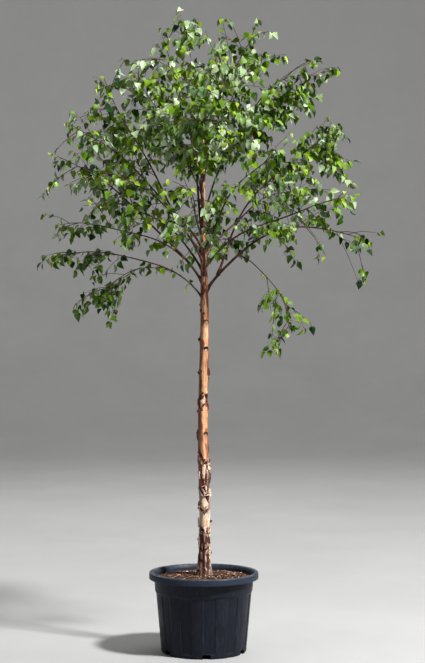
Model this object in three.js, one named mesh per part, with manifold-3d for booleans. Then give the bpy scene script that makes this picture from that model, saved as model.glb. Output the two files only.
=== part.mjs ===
// A young birch grown as a standard: one clear stem with a loose, broad head of arching boughs, in a
// round nursery container filled with growing medium.
// Millimetres, +Z up. The origin is the middle of the container's flat underside.

import * as THREE from "three";
import { mergeVertices } from "three/addons/utils/BufferGeometryUtils.js";
import Module from "manifold-3d";

const wasm = await Module();
wasm.setup();

// ---------------------------------------------------------------- driving dimensions

const FACE_GAP = 0.3; // between two pieces that touch
const seamTolerance = 0.1; // slivers shorter than this are closed up where pieces are fused

const pot = {
  height: 365,
  footRadius: 190,
  bodyFootRadius: 196, // body wall just above the foot
  bodyTopRadius: 219,
  bandFootRadius: 223.5, // plain band between the fluted body and the lip
  bandTopRadius: 228,
  lipRadius: 251,
  wall: 4,
  lipDepth: 31,
  lipWidth: 19, // of the lip's flat top
  bandDepth: 55,
  chamfer: 6,
  fluteFoot: 16,
  fluteDepth: 2.8,
  fluteEdge: 0.12, // half of the slope between two panels, in sides of the pot
  panels: 12, // raised ones, with as many sunk ones between them
  sides: 48,
  drains: 6,
  drainWidth: 36,
  drainHeight: 20,
  drainReach: 24,
  drainTurn: 4, // degrees, of the front one
};

const compost = {
  crownHeight: 348, // where the stem stands
  edgeHeight: 334,
  seatRadius: 48,
  lump: 3.5,
  sides: 24,
  rings: 5,
  seed: 11,
};

const trunk = {
  height: 2102, // from the growing medium to where the leader takes over
  leaderHeight: 2594, // tip of the leader
  clearHeight: 1258, // foot of the head
  footRadius: 27.5,
  clearRadius: 19.4, // at the foot of the head
  tipRadius: 1.4,
  headTaper: 1.9,
  flare: 12,
  flareHeight: 42,
  flareLobes: 5,
  flareLobeDepth: 0.2, // share of the flare
  sway: 4, // from side to side and from front to back
  swayWave: 940,
  swayWaveDeep: 1175,
  lean: -104, // of the leader's tip, along X
  leanFrom: 1900,
  leanPower: 1.5,
  sides: 10,
  rings: 24,
  footRings: 0.65, // how far the rings crowd towards the foot, from 0 to 1
};

const limbStep = 62; // length of one straight stretch of a limb
const limbWobble = 5; // degrees
const limbWaves = 1.6; // of the wobble, over the whole limb
const limbTaper = 0.85; // 1 tapers evenly, less keeps the limb stout for longer
const stemTipRadius = 1.5;

// Every bough as one curve, from its foot on the trunk or on another bough to the furthest shoot. The bough
// itself is the first part of the curve, and the stem of its foliage is the rest.
//   at      height of its foot on the trunk, or distance of its foot along the bough named in on
//   plan    heading seen from above, in degrees, 0 to the right (+X) and 90 to the back (+Y)
//   rise    slope at its foot, and tip the slope at its far end, in degrees above level
//   arch    how late the slope changes, 1 being evenly
const limbs = [
  { name: "low_left", at: 1258, plan: 180, rise: 54, tip: -14, arch: 0.8, length: 750, radius: 4.8 },
  { name: "low_right", at: 1292, plan: 0, rise: 64, tip: -28, arch: 1.0, length: 880, radius: 8.2 },
  { name: "low_back", at: 1315, plan: 88, rise: 54, tip: 8, arch: 0.8, length: 780, radius: 6.4 },
  { name: "left", at: 1332, plan: 194, rise: 54, tip: 26, arch: 1.1, length: 900, radius: 7.2 },
  { name: "low_front", at: 1366, plan: 264, rise: 54, tip: 8, arch: 0.8, length: 740, radius: 6.2 },
  { name: "back_left", at: 1388, plan: 136, rise: 54, tip: 4, arch: 0.9, length: 800, radius: 6.2 },
  { name: "right", at: 1405, plan: 336, rise: 54, tip: 6, arch: 0.5, length: 810, radius: 5.8 },
  { name: "front_left", at: 1430, plan: 230, rise: 56, tip: 6, arch: 0.9, length: 780, radius: 5.8 },
  { name: "back_right", at: 1446, plan: 44, rise: 56, tip: 4, arch: 0.9, length: 800, radius: 6.0 },
  { name: "high_left", at: 1464, plan: 170, rise: 57, tip: 64, arch: 1.0, length: 960, radius: 7.0 },
  { name: "front_right", at: 1480, plan: 300, rise: 56, tip: 10, arch: 0.9, length: 780, radius: 5.8 },
  { name: "mid_left", at: 1496, plan: 206, rise: 54, tip: 26, arch: 1.0, length: 860, radius: 6.0 },
  { name: "upright_left", at: 1522, plan: 150, rise: 84, tip: 66, arch: 1.3, length: 1020, radius: 6.4 },
  { name: "front", at: 1570, plan: 272, rise: 64, tip: 34, arch: 1.0, length: 800, radius: 5.0 },
  { name: "upright_right", at: 1621, plan: 12, rise: 70, tip: -14, arch: 3.0, length: 980, radius: 5.2 },
  { name: "back", at: 1660, plan: 96, rise: 64, tip: 34, arch: 1.0, length: 780, radius: 4.8 },
  { name: "crest_left", at: 1740, plan: 200, rise: 66, tip: 50, arch: 1.0, length: 640, radius: 4.2 },
  { name: "crest_front", at: 1800, plan: 290, rise: 66, tip: 46, arch: 1.0, length: 620, radius: 4.0 },
  { name: "crest_back", at: 1850, plan: 72, rise: 66, tip: 46, arch: 1.0, length: 600, radius: 3.8 },
  { name: "crest_right", at: 1901, plan: 8, rise: 71, tip: 54, arch: 1.0, length: 570, radius: 3.8 },
  { name: "top_right", at: 2070, plan: 355, rise: 56, tip: 66, arch: 1.0, length: 540, radius: 3.0 },
  {
    name: "fork_right", on: "low_right", at: 105, plan: 8, rise: 75,
    tip: 24, arch: 1.0, length: 900, radius: 6.4,
  },
  {
    name: "weeping_right", on: "low_right", at: 240, plan: 350, rise: -20,
    tip: -82, arch: 0.8, length: 440, radius: 3.0,
  },
  {
    name: "fork_left", on: "left", at: 150, plan: 174, rise: 36,
    tip: -4, arch: 0.9, length: 620, radius: 4.2,
  },
  {
    name: "weeping_left", on: "low_left", at: 215, plan: 184, rise: 12,
    tip: -60, arch: 1.2, length: 360, radius: 2.4,
  },
];
const boughShare = 0.36; // of a limb's length that is bough
const forkShare = 0.26; // the same for a limb that grows on another bough
const boughSides = 5;
const twigSides = 3;

const GOLDEN_ANGLE = 137.5;
const twig = {
  spacing: 76, // along the stem of the foliage
  length: 250,
  shortest: 0.55, // share of the length that is left at the tip of the stem
  spread: 52, // degrees off the stem
  jitter: 14, // degrees
  vary: 0.2, // share by which twigs differ in length
  droop: 0.5, // how far the twig turns down over its length
  radius: 3,
  tipRadius: 2,
  steps: 2,
  cuts: [1, 0.75, 0.5], // shares of its length that are tried
};
const leaf = {
  length: 112,
  width: 88,
  thickness: 2.4,
  shoulder: 0.26, // how far the widest place lies towards the stalk
  vary: 0.15, // share by which leaves differ in length
  perTwig: 4,
  firstAt: 0.3, // share of the twig's length
  lastAt: 0.985,
  rootDepth: 0.9, // how far the stalk end is sunk past the middle of the twig
  outward: 0.9, // how far a leaf turns to the side of its twig
  droop: 1.2, // how far it hangs
  droopVary: 0.48,
  roll: 70, // degrees
  clearance: 3, // from limbs and from other twigs
  attempts: 4,
};
const spaceMargin = 5; // between the spaces of two masses of foliage

const finishes = {
  pot: { color: 0x2a2e36, roughness: 0.55, metalness: 0 },
  compost: { color: 0x4a3426, roughness: 0.95, metalness: 0 },
  trunk: { color: 0xc08a5e, roughness: 0.7, metalness: 0 },
  bough: { color: 0x5d3a2c, roughness: 0.65, metalness: 0 },
  foliage: { color: 0x4d7a2c, roughness: 0.5, metalness: 0 },
};

// ---------------------------------------------------------------- small helpers

const radians = THREE.MathUtils.degToRad;
const UP = new THREE.Vector3(0, 0, 1);

function about(middle, spread, random) {
  return middle + spread * 2 * (random() - 0.5);
}

// A repeatable stream of numbers from 0 to 1.
function seeded(seed) {
  let state = seed >>> 0;
  return () => {
    state = (state + 0x6d2b79f5) >>> 0;
    let mixed = Math.imul(state ^ (state >>> 15), 1 | state);
    mixed = (mixed + Math.imul(mixed ^ (mixed >>> 7), 61 | mixed)) ^ mixed;
    return ((mixed ^ (mixed >>> 14)) >>> 0) / 4294967296;
  };
}

function seedOf(name) {
  return [...name].reduce((sum, letter) => (sum * 31 + letter.charCodeAt(0)) >>> 0, 7);
}

// A unit vector from a heading in plan and a slope, both in degrees.
function heading(plan, slope) {
  const a = radians(plan);
  const e = radians(slope);
  return new THREE.Vector3(Math.cos(a) * Math.cos(e), Math.sin(a) * Math.cos(e), Math.sin(e));
}

function solidOf(geometry) {
  const bare = geometry.clone();
  bare.deleteAttribute("normal");
  bare.deleteAttribute("uv");
  const merged = mergeVertices(bare, 1e-4);
  return new wasm.Manifold(
    new wasm.Mesh({
      numProp: 3,
      vertProperties: merged.attributes.position.array,
      triVerts: merged.index.array,
    }),
  );
}

function geometryOf(solid) {
  const mesh = solid.getMesh();
  const geometry = new THREE.BufferGeometry();
  geometry.setAttribute("position", new THREE.BufferAttribute(mesh.vertProperties, 3));
  geometry.setIndex(new THREE.BufferAttribute(mesh.triVerts, 1));
  geometry.computeVertexNormals();
  return geometry;
}

// The largest closed body of a solid, without loose scraps and without the slivers along its seams.
function largest(solid) {
  const bodies = solid.decompose();
  const body = bodies.reduce((a, b) => (b.volume() > a.volume() ? b : a));
  return body.asOriginal().simplify(seamTolerance);
}

function meshOf(name, geometry, finish) {
  const mesh = new THREE.Mesh(geometry, new THREE.MeshStandardMaterial(finish));
  mesh.name = name;
  return mesh;
}

// ---------------------------------------------------------------- container

function potGeometry() {
  const lipFoot = pot.height - pot.lipDepth;
  const bandFoot = lipFoot - pot.bandDepth;
  const fluteTop = bandFoot - pot.chamfer;
  const inner = pot.wall;
  const profile = [
    [0, 0],
    [pot.footRadius, 0],
    [pot.bodyFootRadius, pot.chamfer],
    [pot.bodyFootRadius, pot.fluteFoot],
    [pot.bodyTopRadius, fluteTop],
    [pot.bandFootRadius, bandFoot],
    [pot.bandTopRadius, lipFoot],
    [pot.lipRadius - pot.chamfer / 2, lipFoot],
    [pot.lipRadius, lipFoot + pot.chamfer],
    [pot.lipRadius, pot.height - pot.chamfer],
    [pot.lipRadius - pot.chamfer, pot.height],
    [pot.lipRadius - pot.lipWidth, pot.height],
    [pot.bandTopRadius - inner + 1, lipFoot + pot.lipDepth / 2],
    [pot.bandTopRadius - inner, lipFoot],
    [pot.bodyTopRadius - inner - pot.fluteDepth, fluteTop],
    [pot.bodyFootRadius - inner - pot.fluteDepth, inner],
    [0, inner],
  ].map(([radius, height]) => new THREE.Vector2(radius, height));
  const geometry = new THREE.LatheGeometry(profile, pot.sides);
  flutePanels(geometry, pot.fluteFoot, fluteTop);
  return geometry.rotateX(Math.PI / 2);
}

// Sinks every other panel of the body's wall, and draws the corners of each panel out to its edges.
function flutePanels(lathe, from, to) {
  const place = lathe.attributes.position;
  const perPair = pot.sides / pot.panels;
  const halfWidth = perPair / 4 - pot.fluteEdge;
  for (let i = 0; i < place.count; i++) {
    const [x, height, z] = [place.getX(i), place.getY(i), place.getZ(i)];
    const onBody = height > from - 1 && height < to + 1;
    const outside = Math.hypot(x, z) > bodyRadiusAt(height) - pot.wall / 2;
    if (!onBody || !outside) continue;
    const side = Math.round((Math.atan2(x, z) / (2 * Math.PI)) * pot.sides + pot.sides) % pot.sides;
    const turn = side % perPair;
    const sunk = turn < perPair / 2;
    const middle = side - turn + perPair * (sunk ? 0.25 : 0.75);
    const angle = ((middle + (turn % 2 ? halfWidth : -halfWidth)) / pot.sides) * 2 * Math.PI;
    const radius = bodyRadiusAt(height) - (sunk ? pot.fluteDepth : 0);
    place.setXYZ(i, radius * Math.sin(angle), height, radius * Math.cos(angle));
  }
}

// Outer radius of the raised panels at a height.
function bodyRadiusAt(height) {
  const top = pot.height - pot.lipDepth - pot.bandDepth - pot.chamfer;
  const share = THREE.MathUtils.clamp((height - pot.fluteFoot) / (top - pot.fluteFoot), 0, 1);
  return pot.bodyFootRadius + (pot.bodyTopRadius - pot.bodyFootRadius) * share;
}

function potSolid() {
  const shell = solidOf(potGeometry());
  const cuts = [];
  for (let i = 0; i < pot.drains; i++) {
    const cut = new THREE.BoxGeometry(pot.drainWidth, pot.drainReach * 2, pot.drainHeight * 2);
    cut.translate(0, -pot.bodyFootRadius, 0);
    cut.rotateZ(radians(pot.drainTurn + (360 * i) / pot.drains));
    cuts.push(solidOf(cut));
  }
  return largest(shell.subtract(wasm.Manifold.union(cuts)));
}

// ---------------------------------------------------------------- growing medium

function compostGeometry() {
  const lipFoot = pot.height - pot.lipDepth;
  const fluteTop = lipFoot - pot.bandDepth - pot.chamfer;
  const clear = pot.wall + FACE_GAP + 0.4;
  const footRadius = pot.bodyFootRadius - clear - pot.fluteDepth;
  const shoulderRadius = pot.bodyTopRadius - clear - pot.fluteDepth;
  const edgeRadius = pot.bandTopRadius - clear - 0.4;
  const profile = [
    [0, pot.wall + FACE_GAP],
    [footRadius, pot.wall + FACE_GAP],
    [shoulderRadius, fluteTop],
    [edgeRadius, compost.edgeHeight],
  ];
  for (let i = 1; i <= compost.rings; i++) {
    const share = i / compost.rings;
    const fall = (1 - share) * (1 - share);
    profile.push([
      edgeRadius + (compost.seatRadius - edgeRadius) * share,
      compost.crownHeight + (compost.edgeHeight - compost.crownHeight) * fall,
    ]);
  }
  profile.push([0, compost.crownHeight]);
  const points = profile.map(([radius, height]) => new THREE.Vector2(radius, height));
  const geometry = new THREE.LatheGeometry(points, compost.sides);
  roughen(geometry, edgeRadius);
  return geometry.rotateX(Math.PI / 2);
}

// Lifts and sinks the loose top between the wall and the flat seat of the stem.
function roughen(lathe, edgeRadius) {
  const random = seeded(compost.seed);
  const lifts = Array.from({ length: (compost.rings + 1) * compost.sides }, () => random() - 0.5);
  const place = lathe.attributes.position;
  for (let i = 0; i < place.count; i++) {
    const [x, height, z] = [place.getX(i), place.getY(i), place.getZ(i)];
    const radius = Math.hypot(x, z);
    if (height < compost.edgeHeight + 0.01 || radius < compost.seatRadius + 1) continue;
    const ring = Math.round(((edgeRadius - radius) / (edgeRadius - compost.seatRadius)) * compost.rings);
    const turn = Math.round((Math.atan2(z, x) / (2 * Math.PI) + 1) * compost.sides) % compost.sides;
    place.setY(i, height + compost.lump * 2 * lifts[ring * compost.sides + turn]);
  }
}

// ---------------------------------------------------------------- centre lines of trunk and limbs

// Middle and radius of the trunk and its leader at a height above the growing medium.
function trunkAt(height) {
  const past = Math.max(0, (height - trunk.leanFrom) / (trunk.leaderHeight - trunk.leanFrom));
  const middle = new THREE.Vector3(
    trunk.sway * Math.sin((2 * Math.PI * height) / trunk.swayWave) + trunk.lean * past ** trunk.leanPower,
    trunk.sway * Math.cos((2 * Math.PI * height) / trunk.swayWaveDeep) - trunk.sway,
    height,
  );
  const left = (trunk.leaderHeight - height) / (trunk.leaderHeight - trunk.clearHeight);
  const radius =
    left > 1
      ? trunk.footRadius + ((trunk.clearRadius - trunk.footRadius) * height) / trunk.clearHeight
      : trunk.tipRadius + (trunk.clearRadius - trunk.tipRadius) * left ** trunk.headTaper;
  return { middle, radius };
}

// Points of one limb with its radius at each, in the frame of the tree.
function limbLine(limb, lines) {
  const random = seeded(seedOf(limb.name));
  const phases = [random(), random()].map((share) => share * 2 * Math.PI);
  const count = Math.round(limb.length / limbStep);
  const foot = limb.on ? pointAlong(lines.get(limb.on), limb.at) : trunkAt(limb.at).middle;
  const line = [{ middle: foot.clone(), radius: limb.radius }];
  for (let i = 1; i <= count; i++) {
    const share = (i - 0.5) / count;
    const slope = limb.rise + (limb.tip - limb.rise) * share ** limb.arch;
    const wave = 2 * Math.PI * limbWaves * share;
    const swing = limbWobble / Math.max(0.3, Math.cos(radians(slope)));
    const way = heading(
      limb.plan + swing * Math.sin(wave + phases[0]),
      slope + limbWobble * Math.sin(wave + phases[1]),
    );
    const middle = line[i - 1].middle.clone().addScaledVector(way, limb.length / count);
    const taper = (1 - i / count) ** limbTaper;
    line.push({ middle, radius: stemTipRadius + (limb.radius - stemTipRadius) * taper });
  }
  return line;
}

function pointAlong(line, distance) {
  let left = distance;
  for (let i = 1; i < line.length; i++) {
    const stretch = line[i].middle.distanceTo(line[i - 1].middle);
    if (left <= stretch) return line[i - 1].middle.clone().lerp(line[i].middle, left / stretch);
    left -= stretch;
  }
  return line.at(-1).middle.clone();
}

// The leader above the trunk, with the same step as the limbs.
function leaderLine() {
  const count = Math.round((trunk.leaderHeight - trunk.height) / limbStep);
  return Array.from({ length: count + 1 }, (_, i) =>
    trunkAt(trunk.height + ((trunk.leaderHeight - trunk.height) * i) / count),
  );
}

// ---------------------------------------------------------------- solids that follow a line

// A closed tapering rod that is bent along a line. grow widens it all round and lengthens both ends.
function rodGeometry(line, sides, grow = 0) {
  const curve = new THREE.CatmullRomCurve3(line.map((point) => point.middle));
  const steps = line.length - 1;
  const frames = curve.computeFrenetFrames(steps);
  const rod = new THREE.CylinderGeometry(1, 1, 1, sides, steps);
  const place = rod.attributes.position;
  for (let i = 0; i < place.count; i++) {
    const step = Math.round((place.getY(i) + 0.5) * steps);
    const radius = line[step].radius + grow;
    const past = step === 0 ? -grow : step === steps ? grow : 0;
    const point = line[step].middle
      .clone()
      .addScaledVector(frames.tangents[step], past)
      .addScaledVector(frames.normals[step], place.getX(i) * radius)
      .addScaledVector(frames.binormals[step], -place.getZ(i) * radius);
    place.setXYZ(i, point.x, point.y, point.z);
  }
  return rod;
}

// The trunk's own rod stands on a level foot and swells into root buttresses there.
function trunkGeometry(grow = 0) {
  const rod = new THREE.CylinderGeometry(1, 1, 1, trunk.sides, trunk.rings);
  rod.rotateX(Math.PI / 2);
  const place = rod.attributes.position;
  for (let i = 0; i < place.count; i++) {
    const [x, y, share] = [place.getX(i), place.getY(i), place.getZ(i) + 0.5];
    const height = trunk.height * (share + trunk.footRings * (share * share - share));
    const { middle, radius } = trunkAt(height);
    const lobe = 1 + trunk.flareLobeDepth * Math.cos(trunk.flareLobes * Math.atan2(y, x));
    const reach = radius + grow + trunk.flare * lobe * Math.exp(-height / trunk.flareHeight);
    place.setXYZ(i, middle.x + x * reach, middle.y + y * reach, height + (share > 0.999 ? grow : 0));
  }
  return rod;
}

// ---------------------------------------------------------------- distances that keep pieces apart

function distanceToStretch(point, a, b) {
  const along = new THREE.Vector3().subVectors(b.middle, a.middle);
  const to = new THREE.Vector3().subVectors(point, a.middle);
  const share = THREE.MathUtils.clamp(to.dot(along) / along.lengthSq(), 0, 1);
  const radius = a.radius + (b.radius - a.radius) * share;
  return { middle: to.addScaledVector(along, -share).length(), radius };
}

function distanceToLine(point, line) {
  let nearest = Infinity;
  for (let i = 1; i < line.length; i++) {
    nearest = Math.min(nearest, distanceToStretch(point, line[i - 1], line[i]).middle);
  }
  return nearest;
}

// How far a point lies outside the bark of a limb.
function clearanceFrom(point, line) {
  let nearest = Infinity;
  for (let i = 1; i < line.length; i++) {
    const { middle, radius } = distanceToStretch(point, line[i - 1], line[i]);
    nearest = Math.min(nearest, middle - radius);
  }
  return nearest;
}

// ---------------------------------------------------------------- foliage

// One twig as a line that leaves the stem at a spread and bends down, shortened until it keeps to its
// mass's own space. Returns null if even the shortest one leaves it.
function twigLine(stem, index, random, test) {
  const along = twig.spacing * (index + 0.55);
  const share = along / lengthOf(stem);
  const foot = pointAlong(stem, along);
  const ahead = pointAlong(stem, along + limbStep / 2).sub(pointAlong(stem, along - limbStep / 2));
  ahead.normalize();
  const across = new THREE.Vector3().crossVectors(ahead, UP).normalize();
  across.applyAxisAngle(ahead, radians(about(GOLDEN_ANGLE * index, twig.jitter, random)));
  const spread = radians(about(twig.spread, twig.jitter, random));
  const way = ahead.multiplyScalar(Math.cos(spread)).addScaledVector(across, Math.sin(spread));
  const length = twig.length * (1 - (1 - twig.shortest) * share) * about(1, twig.vary, random);
  for (const kept of twig.cuts) {
    const line = bentLine(foot, way, length * kept);
    if (line.slice(1).every((point) => test(point.middle))) return line;
  }
  return null;
}

function bentLine(foot, way, length) {
  const line = [{ middle: foot, radius: twig.radius }];
  const along = way.clone();
  for (let i = 1; i <= twig.steps; i++) {
    along.addScaledVector(UP, -twig.droop / twig.steps).normalize();
    const middle = line[i - 1].middle.clone().addScaledVector(along, length / twig.steps);
    const radius = twig.radius + ((twig.tipRadius - twig.radius) * i) / twig.steps;
    line.push({ middle, radius });
  }
  return line;
}

function lengthOf(line) {
  return line.slice(1).reduce((sum, point, i) => sum + point.middle.distanceTo(line[i].middle), 0);
}

// A flat blade of four faces, its stalk end at the origin and its point along +Z. The keel under the
// midrib is one edge of a tetrahedron and the widest place of the blade is the opposite one.
function leafGeometry(length) {
  const size = length / leaf.length;
  const blade = new THREE.TetrahedronGeometry(Math.sqrt(3), 0);
  const place = blade.attributes.position;
  for (let i = 0; i < place.count; i++) {
    const [x, y, z] = [place.getX(i), place.getY(i), place.getZ(i)];
    const keel = z < 0;
    place.setXYZ(
      i,
      keel ? 0 : (x * leaf.width * size) / 2,
      ((keel ? -1 : 1) * leaf.thickness) / 2,
      keel ? (length * (1 + x)) / 2 : (length * (1 - leaf.shoulder)) / 2,
    );
  }
  return blade;
}

// A leaf on a twig, at a share of its length, to one side of it and hanging.
function leafOn(line, share, side, random) {
  const whole = lengthOf(line);
  const foot = pointAlong(line, whole * share);
  const before = pointAlong(line, Math.max(0, whole * share - whole / 4));
  const ahead = foot.clone().sub(before).normalize();
  const across = new THREE.Vector3().crossVectors(ahead, UP).normalize();
  const tip = ahead
    .clone()
    .addScaledVector(across, side * leaf.outward)
    .addScaledVector(UP, -about(leaf.droop, leaf.droopVary, random))
    .normalize();
  const flat = new THREE.Vector3().crossVectors(tip, across).normalize();
  const wide = new THREE.Vector3().crossVectors(flat, tip);
  const roll = new THREE.Matrix4().makeRotationZ(radians(about(0, leaf.roll / 2, random)));
  const root = foot.clone().addScaledVector(tip, -leaf.rootDepth);
  const set = new THREE.Matrix4().makeBasis(wide, flat, tip).multiply(roll).setPosition(root);
  return leafGeometry(leaf.length * about(1, leaf.vary, random)).applyMatrix4(set);
}

// The corners of a blade and the middles of its long edges, which are what can touch something else.
function probesOf(geometry) {
  const place = geometry.attributes.position;
  const probes = [];
  for (let i = 0; i < place.count; i += 3) {
    const [a, b, c] = [0, 1, 2].map((k) => new THREE.Vector3().fromBufferAttribute(place, i + k));
    probes.push(a, b, c, a.clone().lerp(b, 0.5), b.clone().lerp(c, 0.5), c.clone().lerp(a, 0.5));
  }
  return probes;
}

// Stem, twigs and leaves of one mass, fused. test says whether a point lies in the mass's own space.
function foliageSolid(name, stem, test) {
  const random = seeded(seedOf(name) + 1);
  const wood = [stem];
  const count = Math.floor(lengthOf(stem) / twig.spacing);
  for (let index = 0; index < count; index++) {
    const line = twigLine(stem, index, random, test);
    if (line) wood.push(line);
  }
  const blades = [];
  for (const line of wood) {
    const bearing = line === stem ? stem.slice(-3) : line;
    const others = wood.filter((other) => other !== line);
    for (let k = 0; k < leaf.perTwig; k++) {
      const blade = placedLeaf(bearing, k, random, test, others, blades);
      if (blade) blades.push(blade);
    }
  }
  const rods = wood.map((line) => solidOf(rodGeometry(line, twigSides)));
  return wasm.Manifold.union([...rods, ...blades]);
}

// A leaf turned until it lies in the mass's space and cuts no other leaf or twig, or null.
function placedLeaf(line, k, random, test, others, blades) {
  const share = leaf.firstAt + ((leaf.lastAt - leaf.firstAt) * k) / (leaf.perTwig - 1);
  const clear = (point) => others.every((other) => clearanceFrom(point, other) > leaf.clearance);
  for (let attempt = 0; attempt < leaf.attempts; attempt++) {
    const blade = leafOn(line, share, k % 2 ? 1 : -1, random);
    if (!probesOf(blade).every((point) => test(point) && clear(point))) continue;
    const solid = solidOf(blade);
    if (blades.every((other) => solid.intersect(other).isEmpty())) return solid;
  }
  return null;
}

// ---------------------------------------------------------------- assembly

const lines = new Map();
for (const limb of limbs) lines.set(limb.name, limbLine(limb, lines));

const boughLines = new Map();
const stemLines = new Map([["leader", leaderLine()]]);
for (const limb of limbs) {
  const line = lines.get(limb.name);
  const split = Math.round((line.length - 1) * (limb.on ? forkShare : boughShare));
  boughLines.set(limb.name, line.slice(0, split + 1));
  stemLines.set(limb.name, line.slice(split));
}

const trunkLine = Array.from({ length: trunk.rings + 1 }, (_, i) =>
  trunkAt((trunk.height * i) / trunk.rings),
);
const hardLines = [trunkLine, ...boughLines.values()];

function spaceOf(name) {
  const own = stemLines.get(name);
  const others = [...stemLines].filter(([other]) => other !== name).map(([, line]) => line);
  return (point) => {
    const limit = distanceToLine(point, own) + spaceMargin;
    return (
      hardLines.every((line) => clearanceFrom(point, line) > leaf.clearance) &&
      others.every((line) => distanceToLine(point, line) > limit)
    );
  };
}

const container = new THREE.Group();
container.add(meshOf("pot", geometryOf(potSolid()), finishes.pot));
container.add(meshOf("growing_medium", compostGeometry(), finishes.compost));

const tree = new THREE.Group();
tree.position.z = compost.crownHeight + FACE_GAP;
tree.add(meshOf("trunk", trunkGeometry(), finishes.trunk));

const cutters = new Map([["", solidOf(trunkGeometry(FACE_GAP))]]);
for (const limb of limbs) {
  const line = boughLines.get(limb.name);
  const bough = largest(solidOf(rodGeometry(line, boughSides)).subtract(cutters.get(limb.on ?? "")));
  cutters.set(limb.name, solidOf(rodGeometry(line, boughSides, FACE_GAP)));
  tree.add(meshOf("bough_" + limb.name, geometryOf(bough), finishes.bough));
}

for (const [name, stem] of stemLines) {
  const carrier = cutters.get(name) ?? cutters.get("");
  const mass = largest(foliageSolid(name, stem, spaceOf(name)).subtract(carrier));
  tree.add(meshOf("foliage_" + name, geometryOf(mass), finishes.foliage));
}

const plant = new THREE.Group();
plant.add(container, tree);

export default plant;
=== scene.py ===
"""A young birch on one clear stem, in a round nursery container, as a dressed studio model.

The trunk, boughs, twigs and foliage follow the growth rule of the part's source. It is written again
here in metres and carried on to side shoots and single leaves, each in the space of its own mass.
"""

import logging
import math
from collections.abc import Callable, Sequence
from dataclasses import dataclass, field
from enum import Enum
from functools import reduce

import bpy
import mathutils
import numpy as np
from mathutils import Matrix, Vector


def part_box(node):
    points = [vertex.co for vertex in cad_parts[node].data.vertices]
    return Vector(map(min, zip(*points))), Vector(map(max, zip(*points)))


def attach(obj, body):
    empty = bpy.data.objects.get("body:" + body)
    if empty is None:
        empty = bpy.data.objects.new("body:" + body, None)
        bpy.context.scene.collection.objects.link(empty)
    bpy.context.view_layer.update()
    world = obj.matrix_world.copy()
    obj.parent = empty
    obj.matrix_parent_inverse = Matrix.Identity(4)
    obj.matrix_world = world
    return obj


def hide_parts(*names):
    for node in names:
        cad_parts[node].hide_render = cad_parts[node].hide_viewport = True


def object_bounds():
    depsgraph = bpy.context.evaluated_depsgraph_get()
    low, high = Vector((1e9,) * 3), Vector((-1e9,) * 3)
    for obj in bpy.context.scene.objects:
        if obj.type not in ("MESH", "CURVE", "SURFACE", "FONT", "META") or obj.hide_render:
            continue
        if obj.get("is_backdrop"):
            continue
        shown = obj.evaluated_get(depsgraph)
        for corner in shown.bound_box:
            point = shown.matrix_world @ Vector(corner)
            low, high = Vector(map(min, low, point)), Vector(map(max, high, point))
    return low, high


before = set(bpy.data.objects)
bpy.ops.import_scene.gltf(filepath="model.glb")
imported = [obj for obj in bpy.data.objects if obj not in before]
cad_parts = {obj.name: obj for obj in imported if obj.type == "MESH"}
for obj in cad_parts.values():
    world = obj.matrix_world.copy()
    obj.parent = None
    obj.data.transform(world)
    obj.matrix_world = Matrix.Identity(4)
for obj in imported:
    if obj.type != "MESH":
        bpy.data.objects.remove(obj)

Array = np.ndarray
Colour = tuple[float, float, float]
Span = tuple[float, float]
Test = Callable[[Array], bool]
Leaf = tuple[Array, Array, Array, float]  # the point it hangs from, its way, its facing and its size
Socket = bpy.types.NodeSocket
Sockets = bpy.types.NodeOutputs
Tree = bpy.types.NodeTree
Value = Socket | float | Sequence[float]  # where an input gets its value from, or the value itself

LOG = logging.getLogger("birch")
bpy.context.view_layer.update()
BODY = "root"
UP = np.array((0.0, 0.0, 1.0))
FRONT = -90.0  # degrees, the heading of the side that faces the camera
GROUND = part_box("trunk")[0].z  # underside of the trunk, where the frame of the tree starts
WORD = 0xFFFFFFFF
BOX_CORNERS = np.array(list(np.ndindex(2, 2, 2)), float) - 0.5
BOX_SIDES = np.array([(0, 1, 3, 2), (4, 6, 7, 5), (0, 4, 5, 1), (2, 3, 7, 6), (0, 2, 6, 4), (1, 5, 7, 3)])


# ---- numbers and lines


class Seeded:
    """A repeatable stream of numbers from 0 to 1, the one that the part's source draws from."""

    def __init__(self, seed: int) -> None:
        """Start the stream at a seed."""
        self.state = seed & WORD

    def draw(self) -> float:
        """Move the stream on.

        Returns:
            The number.
        """
        self.state = (self.state + 0x6D2B79F5) & WORD
        mixed = ((self.state ^ (self.state >> 15)) * (1 | self.state)) & WORD
        mixed = ((mixed + (mixed ^ (mixed >> 7)) * (61 | mixed)) & WORD) ^ mixed
        return (mixed ^ (mixed >> 14)) / (WORD + 1)

    def about(self, middle: float, spread: float) -> float:
        """Return a number that lies within spread of middle."""
        return middle + spread * 2 * (self.draw() - 0.5)


def seed_of(name: str) -> int:
    """Return the seed that a name stands for."""
    return reduce(lambda total, letter: (total * 31 + ord(letter)) & WORD, name, 7)


def unit(vectors: Array) -> Array:
    """Return vectors at a length of one."""
    return vectors / np.maximum(np.linalg.norm(vectors, axis=-1, keepdims=True), 1e-12)


def heading(plan: float, slope: float) -> Array:
    """Return the unit vector of a heading in plan and a slope above level, both in degrees."""
    turn, climb = math.radians(plan), math.radians(slope)
    return np.array((math.cos(turn) * math.cos(climb), math.sin(turn) * math.cos(climb), math.sin(climb)))


def level(angles: Array) -> Array:
    """Return the level unit vectors at headings in radians."""
    return np.stack((np.cos(angles), np.sin(angles), 0 * angles), axis=-1)


def turned(vector: Array, axis: Array, degrees: float) -> Array:
    """Turn a vector about an axis.

    Args:
        vector: The vector.
        axis: A vector of length one.
        degrees: The turn.

    Returns:
        The turned vector.
    """
    angle = math.radians(degrees)
    across = np.cross(axis, vector)
    along = axis * np.dot(axis, vector)
    return along + (vector - along) * math.cos(angle) + across * math.sin(angle)


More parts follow.
